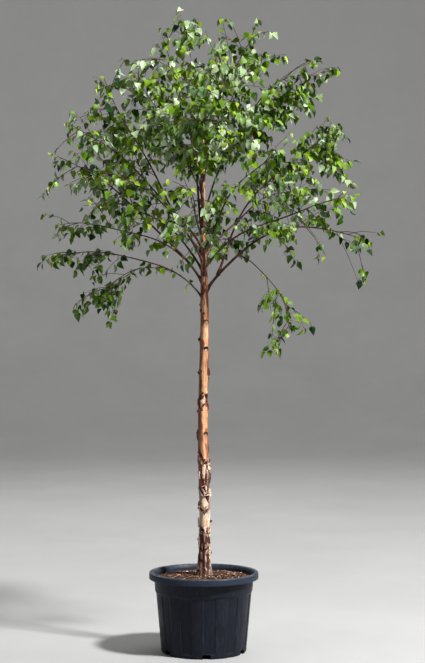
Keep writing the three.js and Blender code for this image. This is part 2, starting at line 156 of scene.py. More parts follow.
def eased(value: Array, low: float, high: float) -> Array:
    """Return 0 below low and 1 above high, with a smooth rise between them."""
    share = np.clip((value - low) / (high - low), 0.0, 1.0)
    return share * share * (3 - 2 * share)


def lattice(cells: Array, seed: int) -> Array:
    """Give each cell of a grid in space a number that stays the same.

    Args:
        cells: Whole numbers of the cells, with their three coordinates last.
        seed: Which of the endless tables to use.

    Returns:
        A number from 0 to 1 for each cell.
    """
    folded = cells[..., 0] * 374761393 + cells[..., 1] * 668265263 + cells[..., 2] * 1274126177
    mixed = (folded + seed * 974711) & WORD
    mixed = ((mixed ^ (mixed >> 13)) * 1103515245) & WORD
    return ((mixed ^ (mixed >> 16)) & WORD) / WORD


def soft_noise(points: Array, seed: int, octaves: int = 1) -> Array:
    """Work out smooth noise at points whose cells are one unit wide.

    Args:
        points: Places, with their three coordinates last.
        seed: Which of the endless noises to use.
        octaves: How many finer and weaker layers are added up.

    Returns:
        A number from 0 to 1 for each place.
    """
    total = np.zeros(points.shape[:-1])
    for octave in range(octaves):
        scaled = points * 2.0**octave
        cells = np.floor(scaled).astype(np.int64)
        ease = eased(scaled - cells, 0.0, 1.0)
        layer = np.zeros_like(total)
        for corner in np.ndindex(2, 2, 2):
            weight = np.prod(np.where(corner, ease, 1 - ease), axis=-1)
            layer += weight * lattice(cells + corner, seed + octave)
        total += layer / 2.0**octave
    return total / (2 - 2.0 ** (1 - octaves))


@dataclass(frozen=True)
class Line:
    """The points of a limb or twig from its foot to its tip, and its radius at each."""

    middles: Array
    radii: Array

    @classmethod
    def drooping(cls, foot: Array, way: Array, length: float, droop: float, radii: Sequence[float]) -> "Line":
        """Grow a line that turns down over its length.

        Args:
            foot: Its first point.
            way: The way in which it leaves.
            length: Its length.
            droop: How much it turns down.
            radii: The radius at each of its points.

        Returns:
            The line.
        """
        middles = [foot]
        steps = len(radii) - 1
        for _ in range(steps):
            way = unit(way - UP * droop / steps)
            middles.append(middles[-1] + way * length / steps)
        return cls(np.array(middles), np.array(radii))

    def stretches(self) -> Array:
        """Return the length of each stretch between two points."""
        return np.linalg.norm(np.diff(self.middles, axis=0), axis=1)

    def length(self) -> float:
        """Return the length from foot to tip."""
        return float(self.stretches().sum())

    def at(self, distance: float) -> Array:
        """Return the point at a distance from the foot."""
        run = np.concatenate(([0.0], np.cumsum(self.stretches())))
        return np.array([np.interp(distance, run, self.middles[:, k]) for k in range(3)])

    def smoothed(self, pieces: int) -> "Line":
        """Divide each stretch into pieces along a curve that passes through every point.

        Args:
            pieces: New stretches for each old one.

        Returns:
            The finer line.
        """
        ends = (2 * self.middles[:1] - self.middles[1:2], 2 * self.middles[-1:] - self.middles[-2:-1])
        padded = np.concatenate((ends[0], self.middles, ends[1]))
        share = np.arange(pieces)[:, None] / pieces
        curves = []
        for i in range(len(self.middles) - 1):
            before, start, end, after = padded[i : i + 4]
            bend = 2 * before - 5 * start + 4 * end - after
            rest = 3 * start - before - 3 * end + after
            curves.append(start + 0.5 * (share * (end - before) + share**2 * bend + share**3 * rest))
        middles = np.concatenate((*curves, self.middles[-1:]))
        steps = np.arange(len(middles)) / pieces
        return Line(middles, np.interp(steps, np.arange(len(self.radii)), self.radii))


# ---- the growth rule


@dataclass(frozen=True)
class TrunkForm:
    """Centre line and girth of the trunk and its leader, above the growing medium."""

    height: float = 2.102
    leader_height: float = 2.594
    clear_height: float = 1.258
    foot_radius: float = 0.0275
    clear_radius: float = 0.0194
    tip_radius: float = 0.0014
    head_taper: float = 1.9
    flare: float = 0.012
    flare_height: float = 0.042
    flare_lobes: int = 5
    flare_lobe_depth: float = 0.2
    sway: float = 0.004
    sway_wave: float = 0.94
    sway_wave_deep: float = 1.175
    lean: float = -0.104
    lean_from: float = 1.9
    lean_power: float = 1.5

    def middle(self, height: Array) -> Array:
        """Work out the middle of the trunk.

        Args:
            height: Heights above the growing medium.

        Returns:
            A point for each height.
        """
        past = np.maximum(0, (height - self.lean_from) / (self.leader_height - self.lean_from))
        side = self.sway * np.sin(2 * np.pi * height / self.sway_wave) + self.lean * past**self.lean_power
        deep = self.sway * np.cos(2 * np.pi * height / self.sway_wave_deep) - self.sway
        return np.stack((side, deep, height + GROUND), axis=-1)

    def radius(self, height: Array) -> Array:
        """Work out the radius of the trunk, without the flare at its foot.

        Args:
            height: Heights above the growing medium.

        Returns:
            The radius at each height.
        """
        left = (self.leader_height - height) / (self.leader_height - self.clear_height)
        clear = self.foot_radius + (self.clear_radius - self.foot_radius) * height / self.clear_height
        taper = np.clip(left, 0, 1) ** self.head_taper
        head = self.tip_radius + (self.clear_radius - self.tip_radius) * taper
        return np.where(left > 1, clear, head)

    def flare_at(self, height: Array, angle: Array) -> Array:
        """Return how far the foot swells out past the radius."""
        lobe = 1 + self.flare_lobe_depth * np.cos(self.flare_lobes * angle)
        return self.flare * lobe * np.exp(-height / self.flare_height)

    def surface(self, height: Array, angle: Array, out: Array | float = 0.0) -> Array:
        """Return points that stand out from the trunk by so much, at heights and headings in radians."""
        radius = self.radius(height) + self.flare_at(height, angle) + out
        return self.middle(height) + level(angle) * radius[..., None]

    def line(self, heights: Array) -> Line:
        """Return the centre line through the given heights."""
        return Line(self.middle(heights), self.radius(heights))


@dataclass(frozen=True)
class Limb:
    """One bough and the stem of its foliage, as a single curve that changes its slope on the way.

    The foot is a height on the trunk, or a distance along the limb named in on. Angles are in degrees.
    """

    name: str
    foot: float
    plan: float
    rise: float
    tip: float
    arch: float
    length: float
    radius: float
    on: str = ""


LIMBS = [Limb(*row) for row in (
    ("low_left", 1.258, 180, 54, -14, 0.8, 0.750, 0.0048),
    ("low_right", 1.292, 0, 64, -28, 1.0, 0.880, 0.0082),
    ("low_back", 1.315, 88, 54, 8, 0.8, 0.780, 0.0064),
    ("left", 1.332, 194, 54, 26, 1.1, 0.900, 0.0072),
    ("low_front", 1.366, 264, 54, 8, 0.8, 0.740, 0.0062),
    ("back_left", 1.388, 136, 54, 4, 0.9, 0.800, 0.0062),
    ("right", 1.405, 336, 54, 6, 0.5, 0.810, 0.0058),
    ("front_left", 1.430, 230, 56, 6, 0.9, 0.780, 0.0058),
    ("back_right", 1.446, 44, 56, 4, 0.9, 0.800, 0.0060),
    ("high_left", 1.464, 170, 57, 64, 1.0, 0.960, 0.0070),
    ("front_right", 1.480, 300, 56, 10, 0.9, 0.780, 0.0058),
    ("mid_left", 1.496, 206, 54, 26, 1.0, 0.860, 0.0060),
    ("upright_left", 1.522, 150, 84, 66, 1.3, 1.020, 0.0064),
    ("front", 1.570, 272, 64, 34, 1.0, 0.800, 0.0050),
    ("upright_right", 1.621, 12, 70, -14, 3.0, 0.980, 0.0052),
    ("back", 1.660, 96, 64, 34, 1.0, 0.780, 0.0048),
    ("crest_left", 1.740, 200, 66, 50, 1.0, 0.640, 0.0042),
    ("crest_front", 1.800, 290, 66, 46, 1.0, 0.620, 0.0040),
    ("crest_back", 1.850, 72, 66, 46, 1.0, 0.600, 0.0038),
    ("crest_right", 1.901, 8, 71, 54, 1.0, 0.570, 0.0038),
    ("top_right", 2.070, 355, 56, 66, 1.0, 0.540, 0.0030),
    ("fork_right", 0.105, 8, 75, 24, 1.0, 0.900, 0.0064, "low_right"),
    ("weeping_right", 0.240, 350, -20, -82, 0.8, 0.440, 0.0030, "low_right"),
    ("fork_left", 0.150, 174, 36, -4, 0.9, 0.620, 0.0042, "left"),
    ("weeping_left", 0.215, 184, 12, -60, 1.2, 0.360, 0.0024, "low_left"),
)]


@dataclass
class Skeleton:
    """Every centre line of the tree, and the space that each mass of foliage keeps to."""

    trunk: TrunkForm = field(default_factory=TrunkForm)
    step: float = 0.062  # length of one straight stretch of a limb
    wobble: float = 5.0  # degrees
    waves: float = 1.6  # of the wobble, over the whole limb
    taper: float = 0.85
    tip_radius: float = 0.0015
    bough_share: float = 0.36
    fork_share: float = 0.26
    trunk_rings: int = 24
    margin: float = 0.005  # between the spaces of two masses
    clearance: float = 0.003  # from limbs
    limbs: dict[str, Line] = field(default_factory=dict)
    boughs: dict[str, Line] = field(default_factory=dict)
    stems: dict[str, Line] = field(default_factory=dict)

    def __post_init__(self) -> None:
        """Grow every line from the trunk outwards."""
        count = round((self.trunk.leader_height - self.trunk.height) / self.step)
        leader = np.linspace(self.trunk.height, self.trunk.leader_height, count + 1)
        self.stems["leader"] = self.trunk.line(leader)
        for limb in LIMBS:
            line = self.grown(limb)
            split = round((len(line.radii) - 1) * (self.fork_share if limb.on else self.bough_share))
            self.limbs[limb.name] = line
            self.boughs[limb.name] = Line(line.middles[: split + 1], line.radii[: split + 1])
            self.stems[limb.name] = Line(line.middles[split:], line.radii[split:])
        heights = np.linspace(0, self.trunk.height, self.trunk_rings + 1)
        self.hard = Stretches([self.trunk.line(heights), *self.boughs.values()])
        self.soft = Stretches(list(self.stems.values()))

    def grown(self, limb: Limb) -> Line:
        """Work out the curve of one limb.

        Args:
            limb: The limb's foot, headings and sizes.

        Returns:
            Its line, from its foot to its furthest shoot.
        """
        random = Seeded(seed_of(limb.name))
        phases = [random.draw() * 2 * math.pi for _ in range(2)]
        count = round(limb.length / self.step)
        foot = self.limbs[limb.on].at(limb.foot) if limb.on else self.trunk.middle(np.float64(limb.foot))
        middles, radii = [foot], [limb.radius]
        for i in range(1, count + 1):
            share = (i - 0.5) / count
            slope = limb.rise + (limb.tip - limb.rise) * share**limb.arch
            wave = 2 * math.pi * self.waves * share
            swing = self.wobble / max(0.3, math.cos(math.radians(slope)))
            plan = limb.plan + swing * math.sin(wave + phases[0])
            way = heading(plan, slope + self.wobble * math.sin(wave + phases[1]))
            middles.append(middles[-1] + way * limb.length / count)
            radii.append(self.tip_radius + (limb.radius - self.tip_radius) * (1 - i / count) ** self.taper)
        return Line(np.array(middles), np.array(radii))

    def space_of(self, name: str) -> Test:
        """Tell the space of one mass of foliage.

        Args:
            name: The name of the mass's own stem.

        Returns:
            A test of whether a point is nearer to that stem than to any other, and clear of the limbs.
        """
        own = list(self.stems).index(name)

        def holds(point: Array) -> bool:
            """Return whether the point lies in the mass's own space."""
            distances = self.soft.distances(point)
            limit = distances[own] + self.margin
            distances[own] = np.inf
            return distances.min() > limit and self.hard.clearances(point).min() > self.clearance

        return holds


class Stretches:
    """The straight stretches of several lines, kept together so that distances are quick to find."""

    def __init__(self, lines: Sequence[Line]) -> None:
        """Gather the stretches of the lines.

        Args:
            lines: The lines.
        """
        self.starts = np.concatenate([line.middles[:-1] for line in lines])
        self.spans = np.concatenate([np.diff(line.middles, axis=0) for line in lines])
        self.radii = np.concatenate([line.radii[:-1] for line in lines])
        self.tapers = np.concatenate([np.diff(line.radii) for line in lines])
        counts = [len(line.radii) - 1 for line in lines]
        self.firsts = np.cumsum([0, *counts[:-1]])

    def measured(self, point: Array) -> tuple[Array, Array]:
        """Measure every stretch from a point.

        Args:
            point: The point.

        Returns:
            Each stretch's distance to the point, and its radius where it is nearest.
        """
        to = point - self.starts
        share = np.clip((to * self.spans).sum(1) / (self.spans**2).sum(1), 0, 1)
        gaps = np.linalg.norm(to - self.spans * share[:, None], axis=1)
        return gaps, self.radii + self.tapers * share

    def distances(self, point: Array) -> Array:
        """Return the distance from a point to the middle of each line."""
        return np.minimum.reduceat(self.measured(point)[0], self.firsts)

    def clearances(self, point: Array) -> Array:
        """Return how far a point lies outside each stretch."""
        gaps, radii = self.measured(point)
        return gaps - radii


# ---- meshes from arrays


def grid_faces(rows: int, columns: int, closed: bool) -> Array:
    """Join a grid of points.

    Args:
        rows: Rows of points.
        columns: Points in a row.
        closed: Whether each row closes into a ring.

    Returns:
        Four-sided faces, as rows of point numbers.
    """
    across = columns if closed else columns - 1
    row, column = np.meshgrid(np.arange(rows - 1), np.arange(across), indexing="ij")
    beside = (column + 1) % columns
    corners = (row * columns + column, row * columns + beside)
    above = ((row + 1) * columns + beside, (row + 1) * columns + column)
    return np.stack((*corners, *above), axis=-1).reshape(-1, 4)


def rod_faces(rows: int, sides: int) -> list[Array]:
    """Return the faces of a rod whose points stand in rings: its wall, and its two ends."""
    ends = np.array([np.arange(sides)[::-1], np.arange(sides) + (rows - 1) * sides])
    return [grid_faces(rows, sides, True), ends]


@dataclass
class Shape:
    """Points and faces that are gathered from many small forms before they become one mesh."""

    points: list[Array] = field(default_factory=list)
    faces: list[Array] = field(default_factory=list)
    finishes: list[Array] = field(default_factory=list)
    marks: dict[str, list[Array]] = field(default_factory=dict)
    count: int = 0

    def add(self, points: Array, faces: Sequence[Array], finish: int = 0, **marks: Array) -> None:
        """Add one form.

        Args:
            points: Its points, one row each.
            faces: Arrays of faces with the same number of corners, as rows of point numbers.
            finish: Which of the piece's materials it has.
            **marks: Numbers for each point that the material reads by name.
        """
        self.points.append(points)
        for group in faces:
            self.faces.append(np.asarray(group) + self.count)
            self.finishes.append(np.full(len(group), finish))
        for name, numbers in marks.items():
            self.marks.setdefault(name, []).append(np.broadcast_to(numbers, len(points)))
        self.count += len(points)

    def tube(self, line: Line, sides: int, finish: int = 0, swell: Array | float = 1.0,
             **marks: Array) -> None:
        """Add a closed round rod along a line.

        Args:
            line: Its centre line and radii.
            sides: How many sides it has.
            finish: Which of the piece's materials it has.
            swell: Factors for the radius, one row for each point of the line.
            **marks: Numbers for each of its points that the material reads by name.
        """
        ways = unit(np.gradient(line.middles, axis=0))
        across = np.zeros_like(ways)
        across[0] = unit(np.cross(ways[0], heading(17, 24)))
        for i in range(1, len(ways)):
            across[i] = unit(across[i - 1] - ways[i] * np.dot(across[i - 1], ways[i]))
        deep = np.cross(ways, across)
        angles = np.arange(sides)[:, None] * 2 * np.pi / sides
        round_ = across[:, None] * np.cos(angles) + deep[:, None] * np.sin(angles)
        points = line.middles[:, None] + round_ * (line.radii[:, None] * swell)[..., None]
        self.add(points.reshape(-1, 3), rod_faces(len(line.radii), sides), finish, **marks)

    def mesh(self, name: str) -> bpy.types.Mesh:
        """Join everything that was added.

        Args:
            name: The mesh's name.

        Returns:
            The mesh, smooth, with its marks as attributes of its points.
        """
        mesh = bpy.data.meshes.new(name)
        points = np.concatenate(self.points)
        corners = np.concatenate([group.ravel() for group in self.faces])
        sizes = np.concatenate([np.full(len(group), group.shape[1]) for group in self.faces])
        mesh.vertices.add(len(points))
        mesh.vertices.foreach_set("co", points.astype(np.float32).ravel())
        mesh.loops.add(len(corners))
        mesh.loops.foreach_set("vertex_index", corners.astype(np.int32))
        mesh.polygons.add(len(sizes))
        mesh.polygons.foreach_set("loop_start", (np.cumsum(sizes) - sizes).astype(np.int32))
        mesh.polygons.foreach_set("material_index", np.concatenate(self.finishes).astype(np.int32))
        for mark, numbers in self.marks.items():
            layer = mesh.attributes.new(mark, "FLOAT", "POINT")
            layer.data.foreach_set("value", np.concatenate(numbers).astype(np.float32))
        mesh.update(calc_edges=True)
        mesh.validate()
        mesh.shade_smooth()
        return mesh


def linked(name: str, data: bpy.types.ID) -> bpy.types.Object:
    """Put an object in the scene.

    Args:
        name: The object's name.
        data: The mesh, lamp or camera.

    Returns:
        The new object.
    """
    made = bpy.data.objects.new(name, data)
    bpy.context.scene.collection.objects.link(made)
    return made


def placed(mesh: bpy.types.Mesh, finishes: Sequence["Finish"], slot: str, *nodes: str) -> bpy.types.Object:
    """Put a mesh in the scene as a piece of the tree.

    Args:
        mesh: The mesh, in the frame of the part.
        finishes: What its material numbers stand for.
        slot: Not used.
        *nodes: The nodes that it stands for.

    Returns:
        The new object.
    """
    piece = linked(mesh.name, mesh)
    for finish in finishes:
        mesh.materials.append(finish.material())
    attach(piece, BODY)
    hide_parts(*nodes)
    LOG.info("%s: %d faces, stands for %s", mesh.name, len(mesh.polygons), ", ".join(nodes))
    return piece


# ---- nodes of the materials


class Nodes:
    """Short calls for the nodes of one material or node group."""

    def __init__(self, tree: Tree) -> None:
        """Work on a node tree."""
        self.tree = tree

    def add(self, kind: str, inputs: dict[str | int, Value] | None = None,
            **settings: object) -> bpy.types.Node:
        """Add a node.

        Args:
            kind: Its type, without the word ShaderNode.
            inputs: Sockets to link or values to set, by input name or number.
            **settings: Its own settings.

        Returns:
            The node.
        """
        node = self.tree.nodes.new("ShaderNode" + kind)
        for name, value in settings.items():
            setattr(node, name, value)
        for name, value in (inputs or {}).items():
            self.put(value, node.inputs[name])
        return node

    def put(self, value: Value, socket: Socket) -> None:
        """Link an input or set its value.

        Args:
            value: What it gets.
            socket: The input.
        """
        if isinstance(value, Socket):
            self.tree.links.new(value, socket)
        else:
            socket.default_value = value

    def place(self) -> Socket:
        """Return the place on the object, in metres."""
        return self.add("TexCoord").outputs["Object"]

    def clouds(self, place: Socket, scale: Value, detail: float, warp: float = 0.0) -> Socket:
        """Return noise of a scale at a place."""
        inputs = {"Vector": place, "Scale": scale, "Detail": detail, "Distortion": warp}
        return self.add("TexNoise", inputs).outputs["Fac"]

    def noise(self, scale: Sequence[float], detail: float = 3.0, warp: float = 0.0) -> Socket:
        """Return noise with so many cells a metre along each axis."""
        mapping = self.add("Mapping", {"Vector": self.place(), "Scale": scale})
        return self.clouds(mapping.outputs["Vector"], 1.0, detail, warp)

    def mark(self, name: str) -> Socket:
        """Return a number that the mesh holds for each point."""
        return self.add("Attribute", attribute_name=name).outputs["Fac"]

    def spread(self, value: Socket, low: float, high: float, to: Span = (0.0, 1.0)) -> Socket:
        """Return value moved from the span low to high to the span to, and held there."""
        inputs = {"Value": value, "From Min": low, "From Max": high, "To Min": to[0], "To Max": to[1]}
        return self.add("MapRange", inputs, interpolation_type="SMOOTHSTEP").outputs["Result"]

    def math(self, operation: str, first: Value, second: Value) -> Socket:
        """Return two numbers put together."""
        return self.add("Math", {0: first, 1: second}, operation=operation).outputs[0]

    def times(self, first: Value, second: Value) -> Socket:
        """Return the product of two numbers."""
        return self.math("MULTIPLY", first, second)

    def plus(self, first: Value, second: Value) -> Socket:
        """Return the sum of two numbers."""
        return self.math("ADD", first, second)

    def minus(self, first: Value, second: Value) -> Socket:
        """Return the difference of two numbers."""
        return self.math("SUBTRACT", first, second)

    def mix(self, share: Value, *colours: Value) -> Socket:
        """Return the first colour shaded into the second by share."""
        whole = [c if isinstance(c, Socket) else (*c, 1.0) for c in colours]
        return self.add("Mix", {0: share, 6: whole[0], 7: whole[1]}, data_type="RGBA").outputs[2]

    def layered(self, colour: Value, *layers: tuple[Socket, Value]) -> Socket:
        """Lay colours over one another.

        Args:
            colour: The lowest one.
            *layers: For each one above it, where it shows and what it is.

        Returns:
            What shows from above.
        """
        for share, above in layers:
            colour = self.mix(share, colour, above)
        return colour

    def torn(self, name: str) -> Socket:
        """Return a mark of the mesh with its edge broken up and made crisp."""
        ragged = self.times(self.minus(self.noise((420, 420, 210)), 0.5), 0.9)
        return self.spread(self.plus(self.mark(name), ragged), 0.36, 0.60)

    def effect(self, kind: "Effect", **values: float) -> Socket:
        """Return what one of the shared effects puts out for the given inputs."""
        inputs = {name.capitalize(): value for name, value in values.items()}
        return self.add("Group", inputs, node_tree=kind.tree()).outputs[0]

    def surface(self, colour: Socket, roughness: Socket, relief: Socket, strength: float,
                depth: float, gloss: Value) -> None:
        """Finish the material with its shader.

        Args:
            colour: The colour, which varies.
            roughness: The roughness, which varies.
            relief: The height of its small relief.
            strength: How strongly the relief shows.
            depth: How deep it is, in metres.
            gloss: How strongly the surface reflects.
        """
        bump = self.add("Bump", {"Height": relief, "Strength": strength, "Distance": depth})
        inputs = {"Base Color": colour, "Roughness": roughness, "Normal": bump.outputs["Normal"]}
        shader = self.add("BsdfPrincipled", {**inputs, "Specular IOR Level": gloss})
        self.add("OutputMaterial", {"Surface": shader.outputs[0]})


class Effect(Enum):
    """Effects that the materials draw on, each a node group with these inputs, built once."""

    MOTTLE = {"size": 0.1, "contrast": 1.0}
    GRAIN = {"width": 0.002, "length": 0.04}
    DUST = {"size": 0.05, "cover": 0.5}

    def tree(self) -> Tree:
        """Find the effect's node group, or build it on first use.

        Returns:
            The group, which puts out one mask.
        """
        name = self.name.lower()
        if name in bpy.data.node_groups:
            return bpy.data.node_groups[name]
        tree = bpy.data.node_groups.new(name, "ShaderNodeTree")
        for label, value in self.value.items():
            text = label.capitalize()
            socket = tree.interface.new_socket(text, in_out="INPUT", socket_type="NodeSocketFloat")
            socket.default_value = value
        tree.interface.new_socket("Mask", in_out="OUTPUT", socket_type="NodeSocketFloat")
        parts = {Effect.MOTTLE: self.mottle, Effect.GRAIN: self.grain, Effect.DUST: self.dust}[self]
        mask = parts(Nodes(tree), tree.nodes.new("NodeGroupInput").outputs)
        tree.links.new(mask, tree.nodes.new("NodeGroupOutput").inputs[0])
        return tree

    @staticmethod
    def mottle(nodes: Nodes, given: Sockets) -> Socket:
        """Add soft clouds of two sizes, such as uneven colour.

        Args:
            nodes: The group's nodes.
            given: The group's inputs.

        Returns:
            The mask.
        """
        cells = nodes.math("DIVIDE", 1.0, given["Size"])
        fine = nodes.clouds(nodes.place(), nodes.times(cells, 5.3), 2.0)
        both = nodes.plus(nodes.clouds(nodes.place(), cells, 4.0), nodes.times(fine, 0.5))
        return nodes.spread(nodes.times(nodes.minus(both, 0.75), given["Contrast"]), -0.3, 0.3)

    @staticmethod
    def grain(nodes: Nodes, given: Sockets) -> Socket:
        """Add fine streaks that run up the object, such as fibres or mould lines.

        Args:
            nodes: The group's nodes.
            given: The group's inputs.

        Returns:
            The mask.
        """
        across, along = (nodes.math("DIVIDE", 1.0, given[name]) for name in ("Width", "Length"))
        scale = nodes.add("CombineXYZ", {"X": across, "Y": across, "Z": along})
        inputs = {0: nodes.place(), 1: scale.outputs[0]}
        return nodes.clouds(nodes.add("VectorMath", inputs, operation="MULTIPLY").outputs[0], 1.0, 3.0)

    @staticmethod
    def dust(nodes: Nodes, given: Sockets) -> Socket:
        """Add dust that gathers in patches where a surface faces up.

        Args:
            nodes: The group's nodes.
            given: The group's inputs.

        Returns:
            The mask.
        """
        facing = nodes.add("SeparateXYZ", {0: nodes.add("NewGeometry").outputs["Normal"]})
        patches = nodes.clouds(nodes.place(), nodes.math("DIVIDE", 1.0, given["Size"]), 5.0)
        lifted = nodes.plus(patches, nodes.minus(given["Cover"], 0.5))
        return nodes.times(nodes.spread(lifted, 0.35, 0.7), nodes.spread(facing.outputs["Z"], 0.2, 0.9))


@dataclass(frozen=True)
class Finish:
    """A material that is made once and shared by name."""

    name: str

    def material(self) -> bpy.types.Material:
        """Find the material, or build it on first use.

        Returns:
            The material.
        """
        known = bpy.data.materials.get(self.name)
        if known:
            return known
        made = bpy.data.materials.new(self.name)
        made.use_nodes = True
        made.node_tree.nodes.clear()
        self.build(Nodes(made.node_tree))
        return made

    def build(self, nodes: Nodes) -> None:
        """Take the nodes of the material, to which each kind of finish adds its own."""


@dataclass(frozen=True)
class PotPlastic(Finish):
    """Blue-black recycled plastic with mould streaks, scuffs, and dust on its lip."""

    name: str = "slate_plastic"
    body: Colour = (0.0078, 0.0094, 0.0150)
    scuffed: Colour = (0.0200, 0.0235, 0.0350)
    lip: Colour = (0.0220, 0.0295, 0.0465)
    dust: Colour = (0.16, 0.15, 0.14)
    lip_foot: float = 0.334
    sunk_shade: float = 0.55

    def build(self, nodes: Nodes) -> None:
        """Build the material.

        Args:
            nodes: The nodes of the material.
        """
        clouds = nodes.effect(Effect.MOTTLE, size=0.09, contrast=1.2)
        streaks = nodes.effect(Effect.GRAIN, width=0.004, length=0.16)
        worn = nodes.times(clouds, nodes.spread(streaks, 0.42, 0.66))
        height = nodes.add("SeparateXYZ", {0: nodes.place()}).outputs["Z"]
        on_lip = nodes.spread(height, self.lip_foot - 0.006, self.lip_foot + 0.004)
        body = nodes.mix(worn, self.body, self.scuffed)
        body = nodes.mix(nodes.times(nodes.mark("sunk"), self.sunk_shade), body, self.body)
        plastic = nodes.mix(nodes.times(on_lip, 0.85), body, self.lip)
        dust = nodes.effect(Effect.DUST, size=0.018, cover=0.5)
        colour = nodes.mix(nodes.times(dust, 0.45), plastic, self.dust)
        roughness = nodes.spread(clouds, 0.0, 1.0, (0.36, 0.52))
        pebbled = nodes.noise((700, 700, 700), 2.0)
        nodes.surface(colour, roughness, pebbled, strength=0.12, depth=0.0006, gloss=0.11)


@dataclass(frozen=True)
class WoodChip(Finish):
    """Composted bark and wood fibre, fibrous and dull."""

    fresh: Colour
    damp: Colour

    def build(self, nodes: Nodes) -> None:
        """Build the material.

        Args:
            nodes: The nodes of the material.
        """
        clouds = nodes.effect(Effect.MOTTLE, size=0.012, contrast=1.6)
        fibres = nodes.noise((520, 520, 160), 4.0, 0.6)
        colour = nodes.mix(nodes.times(clouds, nodes.spread(fibres, 0.3, 0.7)), self.damp, self.fresh)
        roughness = nodes.spread(fibres, 0.2, 0.8, (0.78, 0.96))
        nodes.surface(colour, roughness, fibres, strength=0.6, depth=0.0012, gloss=0.2)


@dataclass(frozen=True)
class StemBark(Finish):
    """Bark of the clear stem: copper and glossy above, chalky and split at the foot.

    The mesh says by its marks how old the bark is, and where it is rusty, peeled, split or scarred.
    """

    name: str = "stem_bark"
    copper: Colour = (0.51, 0.215, 0.098)
    rust: Colour = (0.16, 0.047, 0.020)
    honey: Colour = (0.76, 0.465, 0.265)
    chalk: Colour = (0.58, 0.475, 0.385)
    ash: Colour = (0.175, 0.100, 0.070)
    orange: Colour = (0.62, 0.235, 0.065)
    cream: Colour = (0.72, 0.55, 0.40)
    blush: Colour = (0.40, 0.20, 0.15)
    fissure: Colour = (0.058, 0.016, 0.010)
    maroon: Colour = (0.058, 0.012, 0.008)
    umber: Colour = (0.085, 0.031, 0.017)
    painted_left_shade: Colour = (0.105, 0.050, 0.031)  # painted shade on the left side of the stem, away from the key lamp
    dark: Colour = (0.011, 0.005, 0.004)
    rusty_to: Span = (0.84, 0.94)  # heights above the ground
    aloft: Span = (1.53, 1.66)
    top: Span = (2.04, 2.12)
    maroon_from: Span = (0.55, 0.66)

    def build(self, nodes: Nodes) -> None:
        """Build the material.

        Args:
            nodes: The nodes of the material.
        """
        fibres = nodes.effect(Effect.GRAIN, width=0.008, length=0.17)
        clouds = nodes.effect(Effect.MOTTLE, size=0.05, contrast=1.3)
        blotches = nodes.noise((32, 32, 15), 5.0, 0.7)
        place = nodes.add("SeparateXYZ", {0: nodes.place()})
        height = place.outputs["Z"]
        rusty = nodes.plus(blotches, nodes.spread(height, *self.rusty_to, (0.20, 0.0)))
        # side is the place across the stem as the camera sees it, wandered a little by the blotches
        side = nodes.plus(place.outputs["X"], nodes.times(nodes.minus(blotches, 0.5), 0.03))
        from_painted_highlight = nodes.math("ABSOLUTE", nodes.minus(side, 0.003), 0.0)
        aloft = nodes.times(nodes.spread(height, *self.aloft), nodes.spread(height, *self.top, (0.6, 0.1)))
        young = nodes.layered(
            self.rust,
            (nodes.spread(fibres, 0.28, 0.54), self.copper),
            (nodes.times(clouds, nodes.spread(fibres, 0.42, 0.62)), self.honey),
            (nodes.spread(rusty, 0.52, 0.63, (0.0, 0.85)), self.rust),
            # a honey band painted as a highlight up the front of the stem, and rust painted as shade towards
            # both of its edges
            (nodes.spread(from_painted_highlight, 0.002, 0.009, (0.45, 0.0)), self.honey),
            (nodes.spread(from_painted_highlight, 0.010, 0.019, (0.0, 0.6)), self.rust),
            (nodes.spread(nodes.mark("rusty"), 0.2, 0.8, (0.0, 0.9)), self.rust),
            (aloft, self.umber),
        )
        patches = nodes.noise((46, 46, 30), 5.0, 0.8)
        old = nodes.mix(nodes.spread(patches, 0.4, 0.62), self.ash, self.chalk)
        stripes = nodes.spread(nodes.noise((50, 50, 150), 3.0, 0.9), 0.42, 0.56)
        pink = nodes.times(stripes, nodes.spread(height, 0.86, 1.0, (0.25, 0.9)))
        cream = nodes.spread(patches, 0.36, 0.43)
        inner = nodes.layered(self.orange, (cream, self.cream), (pink, self.blush))
        bands = nodes.noise((34, 34, 520), 3.0, 0.4)
        lenticels = nodes.times(nodes.spread(bands, 0.62, 0.68), nodes.spread(patches, 0.44, 0.56))
        fissure = nodes.mix(nodes.spread(height, *self.maroon_from), self.fissure, self.maroon)
        bark = nodes.layered(
            young,
            (nodes.mark("age"), old),
            (nodes.torn("peeled"), inner),
            # painted shade: darker towards the left side of the stem
            (nodes.spread(side, -0.016, 0.004, (0.46, 0.0)), self.painted_left_shade),
            (nodes.times(lenticels, 0.55), self.fissure),
            (nodes.torn("split"), fissure),
            (nodes.torn("scar"), self.dark),
        )
        rough = nodes.math("MAXIMUM", nodes.mark("age"), nodes.mark("split"))
        roughness = nodes.spread(rough, 0.0, 1.0, (0.36, 0.88))
        relief = nodes.plus(nodes.times(lenticels, 0.6), fibres)
        nodes.surface(bark, roughness, relief, strength=0.35, depth=0.0012, gloss=0.32)


@dataclass(frozen=True)
class BoughBark(Finish):
    """Thin glossy bark of a bough or twig, with pale pores across it."""

    light: Colour
    dark: Colour
    pore: Colour
    collar: Colour = (0.22, 0.085, 0.045)

    def build(self, nodes: Nodes) -> None:
        """Build the material.

        Args:
            nodes: The nodes of the material.
        """
        clouds = nodes.effect(Effect.MOTTLE, size=0.03, contrast=1.4)
        fine = nodes.noise((150, 150, 150), 4.0, 0.5)
        light = nodes.mix(nodes.mark("foot"), self.light, self.collar)
        bark = nodes.mix(nodes.times(clouds, nodes.spread(fine, 0.3, 0.65)), self.dark, light)
        pores = nodes.spread(nodes.noise((420, 420, 900), 2.0), 0.66, 0.72)
        colour = nodes.mix(nodes.times(pores, 0.6), bark, self.pore)
        roughness = nodes.spread(fine, 0.2, 0.8, (0.34, 0.58))
        nodes.surface(colour, roughness, nodes.plus(fine, pores), strength=0.4, depth=0.0008, gloss=0.16)


